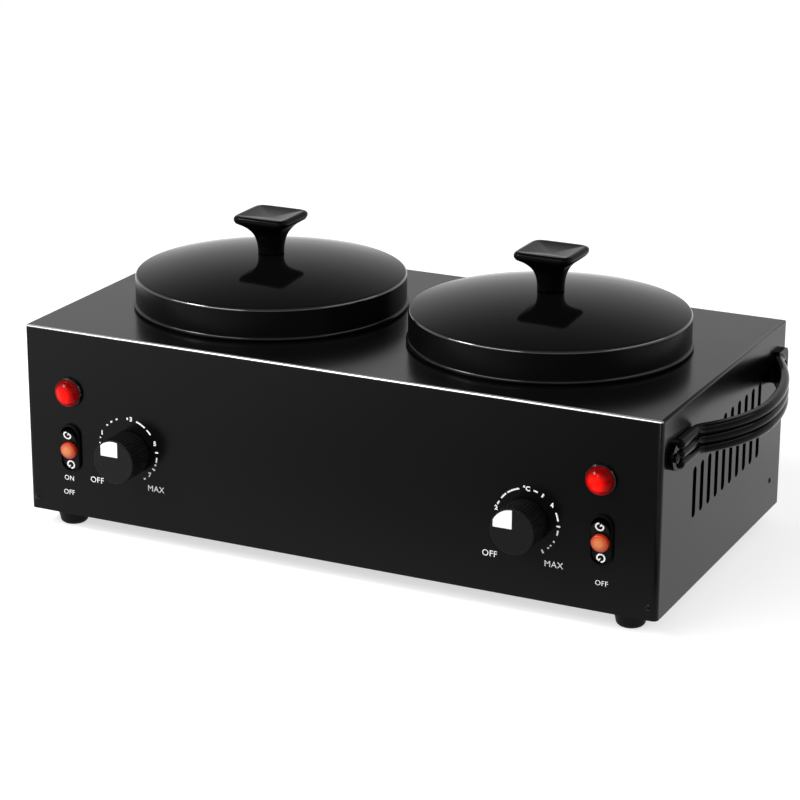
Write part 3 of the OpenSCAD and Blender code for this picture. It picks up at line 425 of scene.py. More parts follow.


# The housing's paint, with a painted highlight on the fold between the front and the top.
POWDER_COAT = PowderCoat("powder_coat", "black_enamel", (0.0024, 0.0024, 0.0026), 0.215, ior=1.225,
                         grain=0.0009, grain_depth=0.000006, unevenness=0.025)
PAN_COAT = Finish("pan_coat", "black_enamel", (0.008, 0.008, 0.008), 0.5, ior=1.3)
GRIP_GLOSS = Finish("grip_gloss", "black_gloss", (0.0016, 0.0016, 0.0018), 0.09, ior=1.13,
                    grain=0.003, grain_depth=0.000004, unevenness=0.02)
STRAP_GLOSS = Finish("strap_gloss", "black_gloss", (0.0012, 0.0012, 0.0013), 0.10, ior=1.14,
                     grain=0.0012, grain_depth=0.000006, unevenness=0.03)
DIAL_PLASTIC = Finish("dial_plastic", "black_plastic", (0.006, 0.006, 0.0062), 0.42, ior=1.24,
                      grain=0.0004, grain_depth=0.00001)
SWITCH_GLOSS = Finish("switch_gloss", "black_gloss", (0.0015, 0.0015, 0.0016), 0.32, ior=1.2)
BEZEL_GLOSS = Finish("bezel_gloss", "black_gloss", (0.002, 0.002, 0.002), 0.10, ior=1.42,
                     grain_depth=0.0, unevenness=0.01)
RUBBER = Finish("foot_rubber", "rubber", (0.005, 0.005, 0.005), 0.55, ior=1.18, grain=0.0008,
                grain_depth=0.00002)
ZINC = Finish("zinc_plate", "zinc", (0.55, 0.55, 0.56), 0.3, metallic=1.0)
SCREW_COAT = Finish("screw_coat", "black_screw", (0.0018, 0.0018, 0.0019), 0.2, ior=1.24)
ALUMINIUM = Brushed("well_aluminium", "aluminium", (0.7, 0.71, 0.72), 0.36, metallic=1.0,
                    grain_depth=0.00001)
POT_STEEL = Brushed("pot_brushed", "pot_steel", (0.62, 0.62, 0.63), 0.24, metallic=1.0,
                    grain_depth=0.00001)
MICA = Finish("heater_mica", "mica_band", (0.36, 0.32, 0.27), 0.45, metallic=0.4)
IVORY = Finish("ivory_plastic", "white_plastic", (0.72, 0.70, 0.64), 0.4)
POINTER_WHITE = Finish("pointer_white", "white_plastic", (0.93, 0.93, 0.93), 0.45,
                       grain_depth=0.000005)
PRINT_WHITE = Finish("print_white", "white_plastic", (0.93, 0.93, 0.93), 0.5, grain_depth=0.0)
LID_ENAMEL = LidEnamel("lid_enamel", "black_lid", (0.0022, 0.0022, 0.0024), 0.085, ior=1.12,
                       grain=0.004, grain_depth=0.000004, unevenness=0.02)
LAMP_RED = LitLens("lamp_red", "red_lens", (0.86, 0.006, 0.003), 0.07, ior=1.15, unevenness=0.01,
                   edge=(0.10, 0.0, 0.0), light=0.5, spot=(-1.2 * MM, -1.6 * MM),
                   reach=9.2 * MM)
ROCKER_AMBER = LitLens("rocker_amber", "amber_lens", (0.60, 0.185, 0.055), 0.10, ior=1.4,
                       unevenness=0.01, edge=(0.40, 0.022, 0.004), light=0.13,
                       reach=6.0 * MM, ring_depth=0.0)
INLET_PLASTIC = Finish("inlet_plastic", "black_plastic", (0.012, 0.012, 0.012), 0.4)
BRASS = Finish("pin_brass", "brass", (0.72, 0.55, 0.25), 0.22, metallic=1.0)


# ---------- modelling ----------


class Bench:
    """Makes meshes the way they are made by hand, with Blender's operators."""

    @staticmethod
    def clear() -> None:
        """Leaves nothing selected and no object in edit mode."""
        if bpy.context.object is not None and bpy.context.object.mode != "OBJECT":
            bpy.ops.object.mode_set(mode="OBJECT")
        bpy.ops.object.select_all(action="DESELECT")

    @classmethod
    def pick(cls, piece: bpy.types.Object) -> None:
        """Makes piece the only selected object, and active."""
        cls.clear()
        piece.select_set(True)
        bpy.context.view_layer.objects.active = piece

    @classmethod
    def edit(cls, piece: bpy.types.Object, select: str = "SELECT") -> None:
        """Opens piece in edit mode with everything selected or deselected."""
        cls.pick(piece)
        bpy.ops.object.mode_set(mode="EDIT")
        bpy.ops.mesh.select_all(action=select)

    @classmethod
    def close(cls) -> None:
        """Leaves edit mode."""
        bpy.ops.object.mode_set(mode="OBJECT")

    @classmethod
    def settle(cls, piece: bpy.types.Object, place: Matrix) -> None:
        """Puts a piece in its place, and its place into its mesh."""
        cls.pick(piece)
        piece.matrix_world = place
        bpy.ops.object.transform_apply(location=True, rotation=True, scale=True)

    @classmethod
    def apply(cls, piece: bpy.types.Object, kind: str, **settings: object) -> None:
        """Adds a modifier to a piece and applies it."""
        cls.pick(piece)
        modifier = piece.modifiers.new(kind.lower(), kind)
        for name, value in settings.items():
            setattr(modifier, name, value)
        bpy.ops.object.modifier_apply(modifier=modifier.name)

    @classmethod
    def smooth(cls, piece: bpy.types.Object, angle: float = 35.0) -> None:
        """Shades a piece smooth, but for edges sharper than the angle in degrees."""
        cls.pick(piece)
        bpy.ops.object.shade_smooth_by_angle(angle=math.radians(angle))

    @classmethod
    def lathe(cls, name: str, profile: Sequence[Point2], place: Matrix,
              steps: int) -> bpy.types.Object:
        """Turns a profile about an axis.

        Args:
            name: the piece's name.
            profile: points of (radius, height) along the profile.
            place: where the axis stands; the axis is its Z.
            steps: how many stretches the turn is made of.

        Returns:
            The finished piece.
        """
        cls.clear()
        bpy.ops.mesh.primitive_plane_add(size=MM, location=(0.0, 0.0, 0.0))
        piece = bpy.context.object
        piece.name = piece.data.name = name
        cls.edit(piece)
        bpy.ops.mesh.merge(type="CENTER")
        here = (0.0, 0.0)
        for index, (radius, height) in enumerate(profile):
            step = (radius - here[0], 0.0, height - here[1])
            here = (radius, height)
            if index == 0:
                bpy.ops.transform.translate(value=step)
            else:
                bpy.ops.mesh.extrude_region_move(TRANSFORM_OT_translate={"value": step})
        bpy.ops.mesh.select_all(action="SELECT")
        cls.spin(2.0 * math.pi, steps, WELD)
        cls.settle(piece, place)
        return piece

    @classmethod
    def spin(cls, angle: float, steps: int, weld: float) -> None:
        """Spins what is selected about Z, welds it and closes edit mode.

        Args:
            angle: how far, in radians.
            steps: in how many stretches.
            weld: the distance between points that become one.
        """
        bpy.ops.mesh.spin(steps=steps, angle=angle, center=(0.0, 0.0, 0.0), axis=(0.0, 0.0, 1.0))
        bpy.ops.mesh.select_all(action="SELECT")
        bpy.ops.mesh.remove_doubles(threshold=weld)
        bpy.ops.mesh.normals_make_consistent(inside=False)
        cls.close()

    @classmethod
    def arc(cls, name: str, radius: float, width: float, start: float, span: float,
            place: Matrix) -> bpy.types.Object:
        """Makes a flat dash along a circle.

        Args:
            name: the piece's name.
            radius: radius of the dash's middle.
            width: its width across the circle.
            start: where it begins, in degrees clockwise from the top.
            span: how far it runs, in degrees.
            place: the circle's centre, with X to the right, Y up and Z out.

        Returns:
            The finished piece, which stands out as print does.
        """
        cls.clear()
        bpy.ops.mesh.primitive_plane_add(size=1.0, location=(0.0, radius, PRINT_OUT / 2),
                                         rotation=(0.0, math.pi / 2, 0.0))
        piece = bpy.context.object
        piece.name = piece.data.name = name
        piece.scale = (PRINT_OUT, width, 1.0)
        bpy.ops.object.transform_apply(location=True, rotation=True, scale=True)
        cls.edit(piece)
        cls.spin(math.radians(span), max(2, round(span / ARC_STEP)), FINE_WELD)
        cls.settle(piece, place @ Matrix.Rotation(-math.radians(start), 4, "Z"))
        return piece

    @classmethod
    def words(cls, name: str, text: str, height: float, place: Matrix,
              bold: float = 0.0) -> bpy.types.Object:
        """Makes printed letters as a thin mesh.

        Args:
            name: the piece's name.
            text: what it says.
            height: the height of a capital.
            place: the middle of the words, with X to the right, Y up and Z out.
            bold: how much the strokes are fattened, as a share of the height.

        Returns:
            The finished piece.
        """
        cls.clear()
        bpy.ops.object.text_add(location=(0.0, 0.0, 0.0))
        piece = bpy.context.object
        piece.data.body = text
        piece.data.align_x = "CENTER"
        piece.data.align_y = "CENTER"
        piece.data.size = height / CAPITAL_SHARE
        piece.data.offset = bold * height / 2
        piece.data.space_character = LETTER_SPACE
        piece.data.extrude = PRINT_OUT / 2
        piece.data.resolution_u = TEXT_CURVE
        bpy.ops.object.convert(target="MESH")
        piece = bpy.context.object
        piece.name = piece.data.name = name
        cls.edit(piece)
        bpy.ops.mesh.remove_doubles(threshold=WELD)
        bpy.ops.mesh.normals_make_consistent(inside=False)
        cls.close()
        cls.settle(piece, place @ Matrix.Translation((0.0, 0.0, PRINT_OUT / 2)))
        return piece

    @classmethod
    def crease(cls, piece: bpy.types.Object, above: float, angle: float) -> None:
        """Keeps the shallow edges of a level face sharp.

        Args:
            piece: the piece.
            above: the height above which its edges are looked at.
            angle: edges sharper than this, in degrees, become sharp.
        """
        cls.edit(piece, "DESELECT")
        skin = bmesh.from_edit_mesh(piece.data)
        for edge in skin.edges:
            level = all(face.normal.z > LEVEL for face in edge.link_faces)
            high = all(vertex.co.z > above for vertex in edge.verts)
            if level and high and edge.calc_face_angle(0.0) > math.radians(angle):
                edge.select_set(True)
        bpy.ops.mesh.mark_sharp()
        cls.close()

    @classmethod
    def copy_of(cls, node: str, name: str, angle: float = 35.0, bevel: float = 0.0,
                dish: float = 0.0) -> bpy.types.Object:
        """Copies a node's mesh as one closed skin, with soft edges.

        Args:
            node: the node that is copied and stood for.
            name: the copy's name.
            angle: edges sharper than this, in degrees, stay sharp.
            bevel: the width of the bevel on those edges, or 0 for none.
            dish: the depth of a dish in the top whose creases stay sharp, or 0 for none.

        Returns:
            The copy, which stands for the node.
        """
        piece = bpy.data.objects.new(name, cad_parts[node].data.copy())
        piece.data.name = name
        bpy.context.scene.collection.objects.link(piece)
        cls.edit(piece)
        bpy.ops.mesh.remove_doubles(threshold=WELD)
        bpy.ops.mesh.select_all(action="SELECT")
        bpy.ops.mesh.dissolve_limited(angle_limit=math.radians(FLAT_ANGLE), delimit={"NORMAL"})
        cls.close()
        if bevel > 0.0:
            cls.apply(piece, "BEVEL", width=bevel, segments=BEVEL_STEPS, limit_method="ANGLE",
                      angle_limit=math.radians(angle), harden_normals=False)
        cls.smooth(piece, angle)
        if dish > 0.0:
            cls.crease(piece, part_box(node)[1].z - dish, DISH_ANGLE)
        cls.apply(piece, "WEIGHTED_NORMAL", keep_sharp=True)
        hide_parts(node)
        return piece


def arc_points(centre: Point2, radius: float, start: float, end: float,
               steps: int) -> list[Point2]:
    """Lays points along an arc.

    Args:
        centre: the arc's centre.
        radius: its radius.
        start: the angle of the first point, in degrees.
        end: the angle of the last point, in degrees.
        steps: how many stretches lie between them.

    Returns:
        The points.
    """
    points = []
    for index in range(steps + 1):
        angle = math.radians(start + (end - start) * index / steps)
        points.append((centre[0] + radius * math.cos(angle), centre[1] + radius * math.sin(angle)))
    return points


def facing_front(x: float, y: float, z: float) -> Matrix:
    """Returns a place on the front panel, with X to the right, Y up and Z out."""
    return Matrix.Translation((x, y, z)) @ Matrix.Rotation(math.pi / 2, 4, "X")


def middle(node: str) -> Vector:
    """Returns the middle of a node's box."""
    low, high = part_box(node)
    return (low + high) / 2


def finish_piece(piece: bpy.types.Object, finish: Finish, body: str) -> bpy.types.Object:
    """Gives a new piece its finish and the body it rides on."""
    piece.data.materials.clear()
    piece.data.materials.append(finish.material())
    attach(piece, body)
    log.info("made %s", piece.name)
    return piece


def dress_node(node: str, finish: Finish) -> None:
    """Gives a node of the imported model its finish."""
    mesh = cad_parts[node].data
    mesh.materials.clear()
    mesh.materials.append(finish.material())
    log.info("dressed %s", node)


# ---------- sub-assemblies ----------


@dataclass
class Box:
    """The sheet-metal housing, its pan, feet, inlet and screws."""

    edge_angle: float = 40.0
    inlet_bevel: float = 0.2 * MM

    @property
    def front(self) -> float:
        """The front panel's place along Y."""
        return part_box("housing")[0].y

    def build(self) -> None:
        """Makes and dresses the outer shell."""
        for node, ending, finish, bevel in (
            ("housing", "_shell", POWDER_COAT, 0.0), ("base_pan", "_sheet", PAN_COAT, 0.0),
            ("rubber_feet", "_skin", RUBBER, 0.0),
            ("power_inlet", "_shell", INLET_PLASTIC, self.inlet_bevel),
        ):
            skin = Bench.copy_of(node, node + ending, self.edge_angle, bevel)
            finish_piece(skin, finish, "root")
        for node, finish in {
            "foot_screws": ZINC, "foot_nuts": ZINC, "base_screws": SCREW_COAT,
            "inlet_pins": BRASS, "inlet_screws": ZINC, "terminal_block": IVORY,
            "handle_nuts": ZINC, "lamp_nuts": ZINC, "thermostat_screws": ZINC,
        }.items():
            dress_node(node, finish)


@dataclass
class Heating:
    """What lies under one pot, inside the box."""

    side: Side

    def build(self) -> None:
        """Dresses the nodes."""
        for name, finish in {
            "well": ALUMINIUM, "heater_band": MICA, "heat_shield": ALUMINIUM,
            "cutout": IVORY,
        }.items():
            dress_node(self.side.node(name), finish)


@dataclass
class Pot:
    """One removable wax pot."""

    side: Side
    edge_angle: float = 50.0

    def build(self) -> None:
        """Makes the pot's skin."""
        node = self.side.node("pot")
        skin = Bench.copy_of(node, node + "_skin", self.edge_angle)
        finish_piece(skin, POT_STEEL, node)


@dataclass
class Lid:
    """One domed lid, turned from a profile, with its knob and screw."""

    side: Side
    rim_radius: float = 92.0 * MM
    wall: float = 1.5 * MM
    edge_radius: float = 2.2 * MM
    rim_height: float = 21.7 * MM
    hem_radius: float = 1.75 * MM
    hem_lean: float = 0.65
    steps: int = 256
    dome_steps: int = 48
    edge_steps: int = 10
    hem_steps: int = 18
    edge_angle: float = 60.0
    dish: float = 3.3 * MM

    def profile(self, low: float, crown: float) -> list[Point2]:
        """Returns the closed wall's profile.

        Args:
            low: the height of the lid's foot.
            crown: the height of its crown.

        Returns:
            The profile's points, as (radius, height).
        """
        rim = low + self.rim_height
        rise = crown - rim
        dome = (self.rim_radius**2 + rise**2) / (2 * rise)
        points = self.shell(dome, crown, self.wall)
        inner = self.rim_radius - self.wall
        hem = (inner + self.hem_lean * self.hem_radius, low + self.hem_radius)
        inner_end = math.degrees(math.acos((inner - hem[0]) / self.hem_radius))
        outer_end = math.degrees(math.asin((self.rim_radius - hem[0]) / self.hem_radius))
        points += arc_points(hem, self.hem_radius, inner_end, 450.0 - outer_end,
                             self.hem_steps)
        points += reversed(self.shell(dome, crown, 0.0))
        return points

    def shell(self, dome: float, crown: float, inset: float) -> list[Point2]:
        """Lays one skin of the dome and its rounded rim, from the crown outwards.

        Args:
            dome: the radius of the outer skin's dome.
            crown: the height of its crown.
            inset: how far this skin lies inside it.

        Returns:
            The skin's points.
        """
        radius = dome - inset
        edge = self.edge_radius - inset
        inner = self.rim_radius - inset
        centre = crown - dome
        edge_up = centre + math.sqrt((radius - edge) ** 2 - (inner - edge) ** 2)
        slope = math.degrees(math.asin((inner - edge) / (radius - edge)))
        points = arc_points((0.0, centre), radius, 90.0, 90.0 - slope, self.dome_steps)
        rim = arc_points((inner - edge, edge_up), edge, 90.0 - slope, 0.0, self.edge_steps)
        return points + rim[1:]

    def build(self) -> None:
        """Makes the lid and its knob, and dresses its screw."""
        node = self.side.node("lid")
        low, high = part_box(node)
        centre = ((low.x + high.x) / 2, (low.y + high.y) / 2)
        place = Matrix.Translation((*centre, 0.0))
        lid = Bench.lathe(node + "_skin", self.profile(low.z, high.z), place, self.steps)
        Bench.smooth(lid, self.edge_angle)
        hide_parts(node)
        enamel = replace(LID_ENAMEL, name=f"{node}_enamel", foot=low.z,
                         rim=low.z + self.rim_height, centre=centre, radius=self.rim_radius)
        finish_piece(lid, enamel, node)
        dress_node(self.side.node("lid_screw"), ZINC)
        grip = self.side.node("lid_knob")
        knob = Bench.copy_of(grip, grip + "_skin", self.edge_angle, dish=self.dish)
        finish_piece(knob, GRIP_GLOSS, node)


class Mark(enum.Enum):
    """What may be printed round a dial."""

    DASH = "dash"
    TICK = "tick"
    DOT = "dot"
    FIGURE = "figure"


DialMark = tuple[Mark, float, Union[float, str]]    # what, where in degrees, and how much


@dataclass
class Dial:
    """One thermostat: knob, pointer, shaft and the print round it."""

    side: Side
    marks: list[DialMark]
    ring: float
    shift: Point2
    off: Point2
    full: Point2
    stroke: float = 1.05 * MM
    figure: float = 3.1 * MM
    figure_bold: float = 0.1
    letter: float = 4.2 * MM
    edge_angle: float = 30.0

    def build(self, front: float) -> None:
        """Makes the knob and its print.

        Args:
            front: the front panel's place along Y.
        """
        body = self.side.node("dial")
        knob = self.side.node("knob")
        finish_piece(Bench.copy_of(knob, knob + "_skin", self.edge_angle), DIAL_PLASTIC, body)
        pointer = self.side.node("pointer")
        inlay = Bench.copy_of(pointer, pointer + "_inlay", self.edge_angle)
        finish_piece(inlay, POINTER_WHITE, body)
        dress_node(self.side.node("shaft"), ZINC)
        dress_node(self.side.node("thermostat"), IVORY)
        centre = middle(knob)
        place = facing_front(centre.x, front, centre.z)
        ring = place @ Matrix.Translation((self.shift[0], self.shift[1], 0.0))
        for index, (kind, angle, extra) in enumerate(self.marks):
            name = f"{self.side.value}_dial_{kind.value}_{index}"
            finish_piece(self.mark(name, kind, angle, extra, ring), PRINT_WHITE, "root")
        for word, spot in (("OFF", self.off), ("MAX", self.full)):
            there = place @ Matrix.Translation((spot[0], spot[1], 0.0))
            name = f"{self.side.value}_dial_{word.lower()}"
            finish_piece(Bench.words(name, word, self.letter, there), PRINT_WHITE, "root")

    def mark(self, name: str, kind: Mark, angle: float, extra: Union[float, str],
             place: Matrix) -> bpy.types.Object:
        """Makes one mark of the ring.

        Args:
            name: the piece's name.
            kind: what it is.
            angle: degrees clockwise from the top.
            extra: a dash's span in degrees, a tick's or a dot's size in metres, or a
                figure's text.
            place: the ring's centre.

        Returns:
            The mark.
        """
        if kind is Mark.DASH:
            return Bench.arc(name, self.ring, self.stroke, angle, extra, place)
        if kind is Mark.FIGURE:
            turned = math.radians(angle)
            away = (self.ring * math.sin(turned), self.ring * math.cos(turned), 0.0)
            spot = place @ Matrix.Translation(away)
            return Bench.words(name, extra, self.figure, spot, self.figure_bold)
        width = extra if kind is Mark.TICK else self.stroke
        span = math.degrees((self.stroke if kind is Mark.TICK else extra) / self.ring)
        return Bench.arc(name, self.ring, width, angle - span / 2, span, place)


@dataclass
class Lamp:
    """One pilot lamp."""

    side: Side
    bezel_angle: float = 30.0
    bezel_bevel: float = 0.25 * MM
    lens_angle: float = 25.0
    lens_bevel: float = 0.15 * MM

    def build(self) -> None:
        """Makes the bezel and the lit lens."""
        bezel = self.side.node("lamp_bezel")
        ring = Bench.copy_of(bezel, bezel + "_skin", self.bezel_angle, self.bezel_bevel)
        finish_piece(ring, BEZEL_GLOSS, "root")
        lens = self.side.node("lamp_lens")
        lit = replace(LAMP_RED, name=f"{self.side.value}_lamp_red", centre=tuple(middle(lens)))
        glass = Bench.copy_of(lens, lens + "_glass", self.lens_angle, self.lens_bevel)
        finish_piece(glass, lit, "root")


@dataclass
class Switch:
    """One rocker switch with its amber lens and its marks."""

    side: Side
    words: tuple[tuple[str, float, float], ...] = ()
    letter: float = 3.5 * MM
    mark_radius: float = 2.5 * MM
    mark_stroke: float = 1.0 * MM
    mark_from_end: float = 3.3 * MM
    mark_turns: tuple[float, float] = (60.0, 240.0)
    mark_gap: float = 60.0
    bar_turn: float = -35.0
    bar_span: float = 40.0
    least_face: float = 1.5 * MM**2
    edge_angle: float = 30.0
    lens_angle: float = 40.0
    bezel_bevel: float = 0.15 * MM
    cap_bevel: float = 0.25 * MM

    def build(self, front: float) -> None:
        """Makes the switch and its print.

        Args:
            front: the front panel's place along Y.
        """
        body = self.side.node("rocker")
        node = self.side.node("switch")
        bezel = Bench.copy_of(node, node + "_bezel", self.edge_angle, self.bezel_bevel)
        finish_piece(bezel, SWITCH_GLOSS, "root")
        cap = Bench.copy_of(body, body + "_cap", self.edge_angle, self.cap_bevel)
        finish_piece(cap, SWITCH_GLOSS, body)
        lens = self.side.node("rocker_lens")
        centre = middle(lens)
        lit = replace(ROCKER_AMBER, name=f"{self.side.value}_rocker_amber", centre=tuple(centre))
        finish_piece(Bench.copy_of(lens, lens + "_glass", self.lens_angle), lit, body)
        for end, turn in zip((1.0, -1.0), self.mark_turns):
            self.mark(body, end, turn)
        for word, across, height in self.words:
            place = facing_front(centre.x + across, front, height)
            name = f"{self.side.value}_switch_{word.lower()}"
            finish_piece(Bench.words(name, word, self.letter, place), PRINT_WHITE, "root")

    def mark(self, body: str, end: float, turn: float) -> None:
        """Prints an open ring with a bar on one end of the rocker.

        Args:
            body: the rocker's node and body.
            end: 1 for the upper end, -1 for the lower.
            turn: where the ring's gap ends, in degrees clockwise from the top.
        """
        low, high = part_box(body)
        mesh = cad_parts[body].data
        faces = [face for face in mesh.polygons
                 if face.normal.y < -FORWARD and face.area > self.least_face]
        face = max(faces, key=lambda each: max(end * mesh.vertices[index].co.z
                                               for index in each.vertices))
        spot_z = (high.z if end > 0.0 else low.z) - end * self.mark_from_end
        spot_y = face.center.y - face.normal.z / face.normal.y * (spot_z - face.center.z)
        tilt = math.atan2(face.normal.z, -face.normal.y)
        place = facing_front((low.x + high.x) / 2, spot_y, spot_z)
        place = place @ Matrix.Rotation(-tilt, 4, "X")
        which = "upper" if end > 0.0 else "lower"
        ring = Bench.arc(f"{body}_{which}_ring", self.mark_radius, self.mark_stroke, turn,
                         360.0 - self.mark_gap, place)
        finish_piece(ring, PRINT_WHITE, body)
        bar = Bench.arc(f"{body}_{which}_bar", self.mark_radius / 2, self.mark_radius,
                        turn + self.bar_turn, self.bar_span, place)
        finish_piece(bar, PRINT_WHITE, body)


@dataclass
class Handle:
    """One bowed strap handle."""

    side: Side
    edge_angle: float = 40.0
    bevel: float = 0.3 * MM

    def build(self) -> None:
        """Makes the strap's skin."""
        node = self.side.node("handle")
        strap = Bench.copy_of(node, node + "_strap", self.edge_angle, self.bevel)
        finish_piece(strap, STRAP_GLOSS, "root")


# ---------- studio ----------


def direction(azimuth: float, elevation: float) -> Vector:
    """Returns the way from the heater to a place, from its azimuth and elevation in degrees."""
    turn = math.radians(azimuth)
    lift = math.radians(elevation)
    level = math.cos(lift)
    return Vector((math.sin(turn) * level, -math.cos(turn) * level, math.sin(lift)))


@dataclass
class Softbox:
    """One softbox: where it hangs, in degrees and metres, its size and its power in watts."""

    name: str
    azimuth: float
    elevation: float
    distance: float
    width: float
    height: float
    power: float
    aim: Point3 = (0.0, 0.0, 0.1)

    def build(self) -> None:
        """Hangs the softbox so that it faces the heater."""
        away = direction(self.azimuth, self.elevation)
        data = bpy.data.lights.new(self.name, "AREA")
        data.shape = "RECTANGLE"
        data.size = self.width
        data.size_y = self.height
        data.energy = self.power
        holder = bpy.data.objects.new(self.name, data)
        holder.matrix_world = (Matrix.Translation(Vector(self.aim) + away * self.distance)
                               @ (-away).to_track_quat("-Z", "Y").to_matrix().to_4x4())
        bpy.context.scene.collection.objects.link(holder)


SOFTBOXES = (
    Softbox("strip_left", -34.0, 36.0, 2.4, 2.8, 0.45, 38.0),
    Softbox("strip_right", 106.0, 38.0, 2.4, 2.4, 0.45, 10.0),
    Softbox("key_left", -52.0, 40.0, 1.3, 0.28, 0.28, 8.0),
)


@dataclass
class Studio:
    """Floor, surround and camera, with the softboxes."""

    azimuth: float = 25.697
    elevation: float = 18.471
    roll: float = 0.210
    distance: float = 1822.4 * MM
    aim: Point3 = (-5.3 * MM, 0.0, 73.4 * MM)
    lens: float = 122.06
    sensor: float = 36.0
    clip: Point2 = (0.05, 100.0)
    floor_half: float = 30.0
    paper: float = 0.55
    paper_light: float = 0.62
    # Painted shade in reflections: how dark the floor looks to reflections at the right front, and
    # where that patch lies across and out.
    reflection_shade: float = 0.9
    reflection_shade_across: Point2 = (-0.6, 0.35)
    reflection_shade_out: Point2 = (-0.05, -0.35)
    darkens: Point2 = (0.28, 0.85)
    overhead: Colour = (0.3, 0.3, 0.305)

    def camera(self) -> None:
        """Puts the camera where the photograph was taken from."""
        back = direction(self.azimuth, self.elevation)
        base = Vector((0.0, middle("housing").y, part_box("housing")[0].z))
        target = Vector(self.aim) + base
        data = bpy.data.cameras.new("camera")
        data.sensor_width = self.sensor
        data.lens = self.lens
        data.clip_start, data.clip_end = self.clip
        holder = bpy.data.objects.new("camera", data)
        look = (-back).to_track_quat("-Z", "Y").to_matrix().to_4x4()
        holder.matrix_world = (Matrix.Translation(target + back * self.distance) @ look
                               @ Matrix.Rotation(math.radians(self.roll), 4, "Z"))
        bpy.context.scene.collection.objects.link(holder)
        bpy.context.scene.camera = holder

    def floor(self) -> None:
        """Lays a white floor that keeps the shadow; to reflections only it darkens nearly to black
        towards the right front, as painted shade for the panels that mirror it.
        """
        Bench.clear()
        bpy.ops.mesh.primitive_plane_add(size=2 * self.floor_half, location=(0.0, 0.0, 0.0))
        sheet = bpy.context.object
        sheet.name = "floor"
        made = bpy.data.materials.new("floor_white")
        made.use_nodes = True
        graph = Graph(made.node_tree)
        path = graph.node("ShaderNodeLightPath")
        mirrored = graph.out(path, "Is Glossy Ray")
        seen = graph.math("ADD", graph.out(path, "Is Camera Ray"), mirrored)
        seen = graph.math("ADD", seen, graph.out(path, "Is Transmission Ray"), clamp=True)
        x, y, _ = graph.parts(graph.place())
        # Painted shade: reflections, not the camera, see the floor darken nearly to black towards
        # the right front.
        across = graph.fit(x, *self.reflection_shade_across, 0.0, self.reflection_shade)
        reflection_shade = mirrored * across * graph.fit(y, *self.reflection_shade_out)
        paper = graph.node("ShaderNodeBsdfDiffuse", Color=(self.paper,) * 3)
        lift = graph.node("ShaderNodeEmission", Color=(1.0, 1.0, 1.0),
                          Strength=seen * self.paper_light)
        both = graph.node("ShaderNodeAddShader", in_0=graph.out(paper), in_1=graph.out(lift))
        black = graph.node("ShaderNodeBsdfDiffuse", Color=(0.0, 0.0, 0.0))
        reflection_shaded = graph.node("ShaderNodeMixShader", Fac=reflection_shade, in_1=graph.out(both),
                             in_2=graph.out(black))
        graph.node("ShaderNodeOutputMaterial", Surface=graph.out(reflection_shaded))
        sheet.data.materials.append(made)

    def world(self) -> None:
        """Sets a white surround that darkens overhead."""
        made = bpy.data.worlds.new("studio")
        bpy.context.scene.world = made
        made.use_nodes = True
        graph = Graph(made.node_tree)
        _, _, up = graph.parts(graph.out(graph.node("ShaderNodeTexCoord"), "Generated"))
        colour = graph.mix(graph.fit(up, *self.darkens), (1.0, 1.0, 1.0), self.overhead)
        surround = graph.node("ShaderNodeBackground", Color=colour, Strength=1.0)
        graph.node("ShaderNodeOutputWorld", Surface=graph.out(surround))

    def build(self) -> None:
        """Sets up the whole studio."""
        self.camera()
        self.floor()
        self.world()
        for box in SOFTBOXES:
            box.build()
        bpy.context.scene.view_settings.view_transform = "Standard"


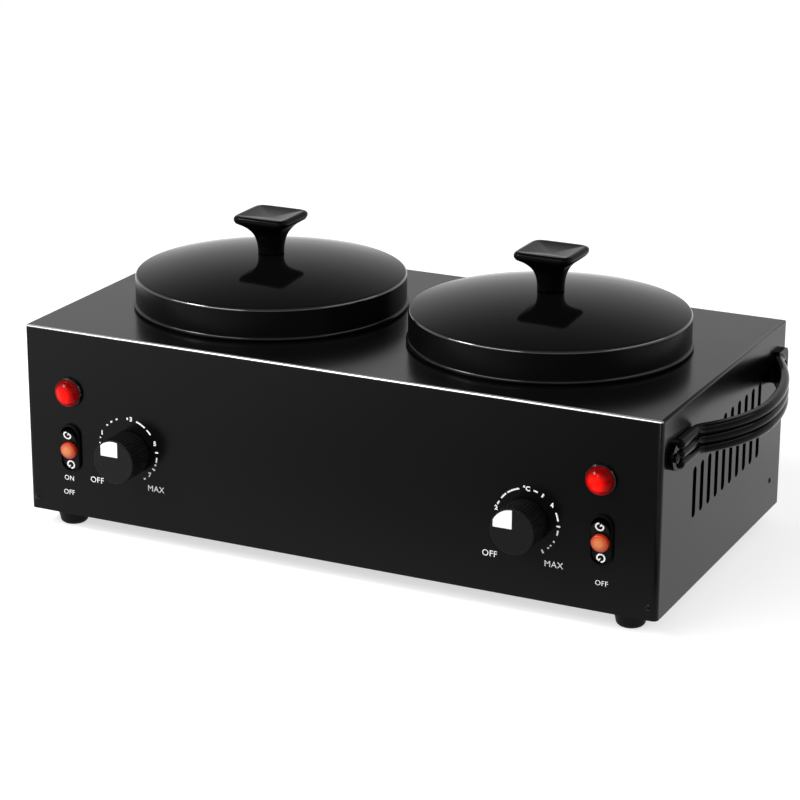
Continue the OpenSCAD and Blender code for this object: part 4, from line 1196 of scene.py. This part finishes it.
LEFT_MARKS: list[DialMark] = [
    (Mark.DOT, -96.0, 0.8 * MM), (Mark.DOT, -85.0, 0.9 * MM), (Mark.DOT, -75.0, 0.9 * MM),
    (Mark.FIGURE, -65.0, "1"), (Mark.DOT, -46.0, 1.1 * MM), (Mark.DOT, -34.5, 1.6 * MM),
    (Mark.DOT, -22.0, 1.4 * MM), (Mark.TICK, 0.0, 1.6 * MM), (Mark.FIGURE, 7.0, "3"),
    (Mark.DASH, 18.0, 19.0), (Mark.DASH, 42.0, 11.0), (Mark.FIGURE, 70.0, "5"),
    (Mark.TICK, 86.0, 2.2 * MM), (Mark.DASH, 95.0, 9.5), (Mark.DOT, 109.5, 1.2 * MM),
    (Mark.TICK, 119.0, 2.2 * MM), (Mark.FIGURE, 133.0, "7"), (Mark.DOT, 146.0, 1.6 * MM),
]
RIGHT_MARKS: list[DialMark] = [
    (Mark.FIGURE, -75.0, "2"), (Mark.DASH, -68.0, 7.0), (Mark.DASH, -54.0, 13.0),
    (Mark.DASH, -38.0, 23.5), (Mark.FIGURE, -1.0, "°C"), (Mark.DASH, 12.0, 7.5),
    (Mark.TICK, 29.5, 2.6 * MM), (Mark.FIGURE, 52.0, "4"), (Mark.DASH, 66.0, 15.0),
    (Mark.TICK, 90.0, 2.4 * MM), (Mark.DASH, 97.0, 9.5), (Mark.DOT, 119.5, 1.2 * MM),
    (Mark.DOT, 129.0, 1.2 * MM), (Mark.DOT, 135.5, 1.2 * MM), (Mark.TICK, 148.5, 2.6 * MM),
]


def main() -> None:
    """Builds the studio and dresses the heater."""
    logging.basicConfig(level=logging.INFO, format="%(name)s: %(message)s")
    Studio().build()
    box = Box()
    box.build()
    dials = {
        Side.LEFT: Dial(Side.LEFT, LEFT_MARKS, ring=21.8 * MM, shift=(-1.8 * MM, 1.2 * MM),
                        off=(-26.6 * MM, -24.0 * MM), full=(18.7 * MM, -23.1 * MM)),
        Side.RIGHT: Dial(Side.RIGHT, RIGHT_MARKS, ring=21.2 * MM, shift=(0.5 * MM, -0.3 * MM),
                         off=(-24.0 * MM, -26.0 * MM), full=(19.1 * MM, -26.0 * MM)),
    }
    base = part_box("housing")[0].z
    words = {
        Side.LEFT: (("ON", -2.4 * MM, base + 25.6 * MM), ("OFF", -2.8 * MM, base + 15.5 * MM)),
        Side.RIGHT: (("OFF", 0.5 * MM, base + 18.9 * MM),),
    }
    for side in Side:
        Heating(side).build()
        Pot(side).build()
        Lid(side).build()
        dials[side].build(box.front)
        Lamp(side).build()
        Switch(side, words=words[side]).build(box.front)
        Handle(side).build()
    dress_node("handle_screws", SCREW_COAT)


if __name__ == "__main__":
    main()
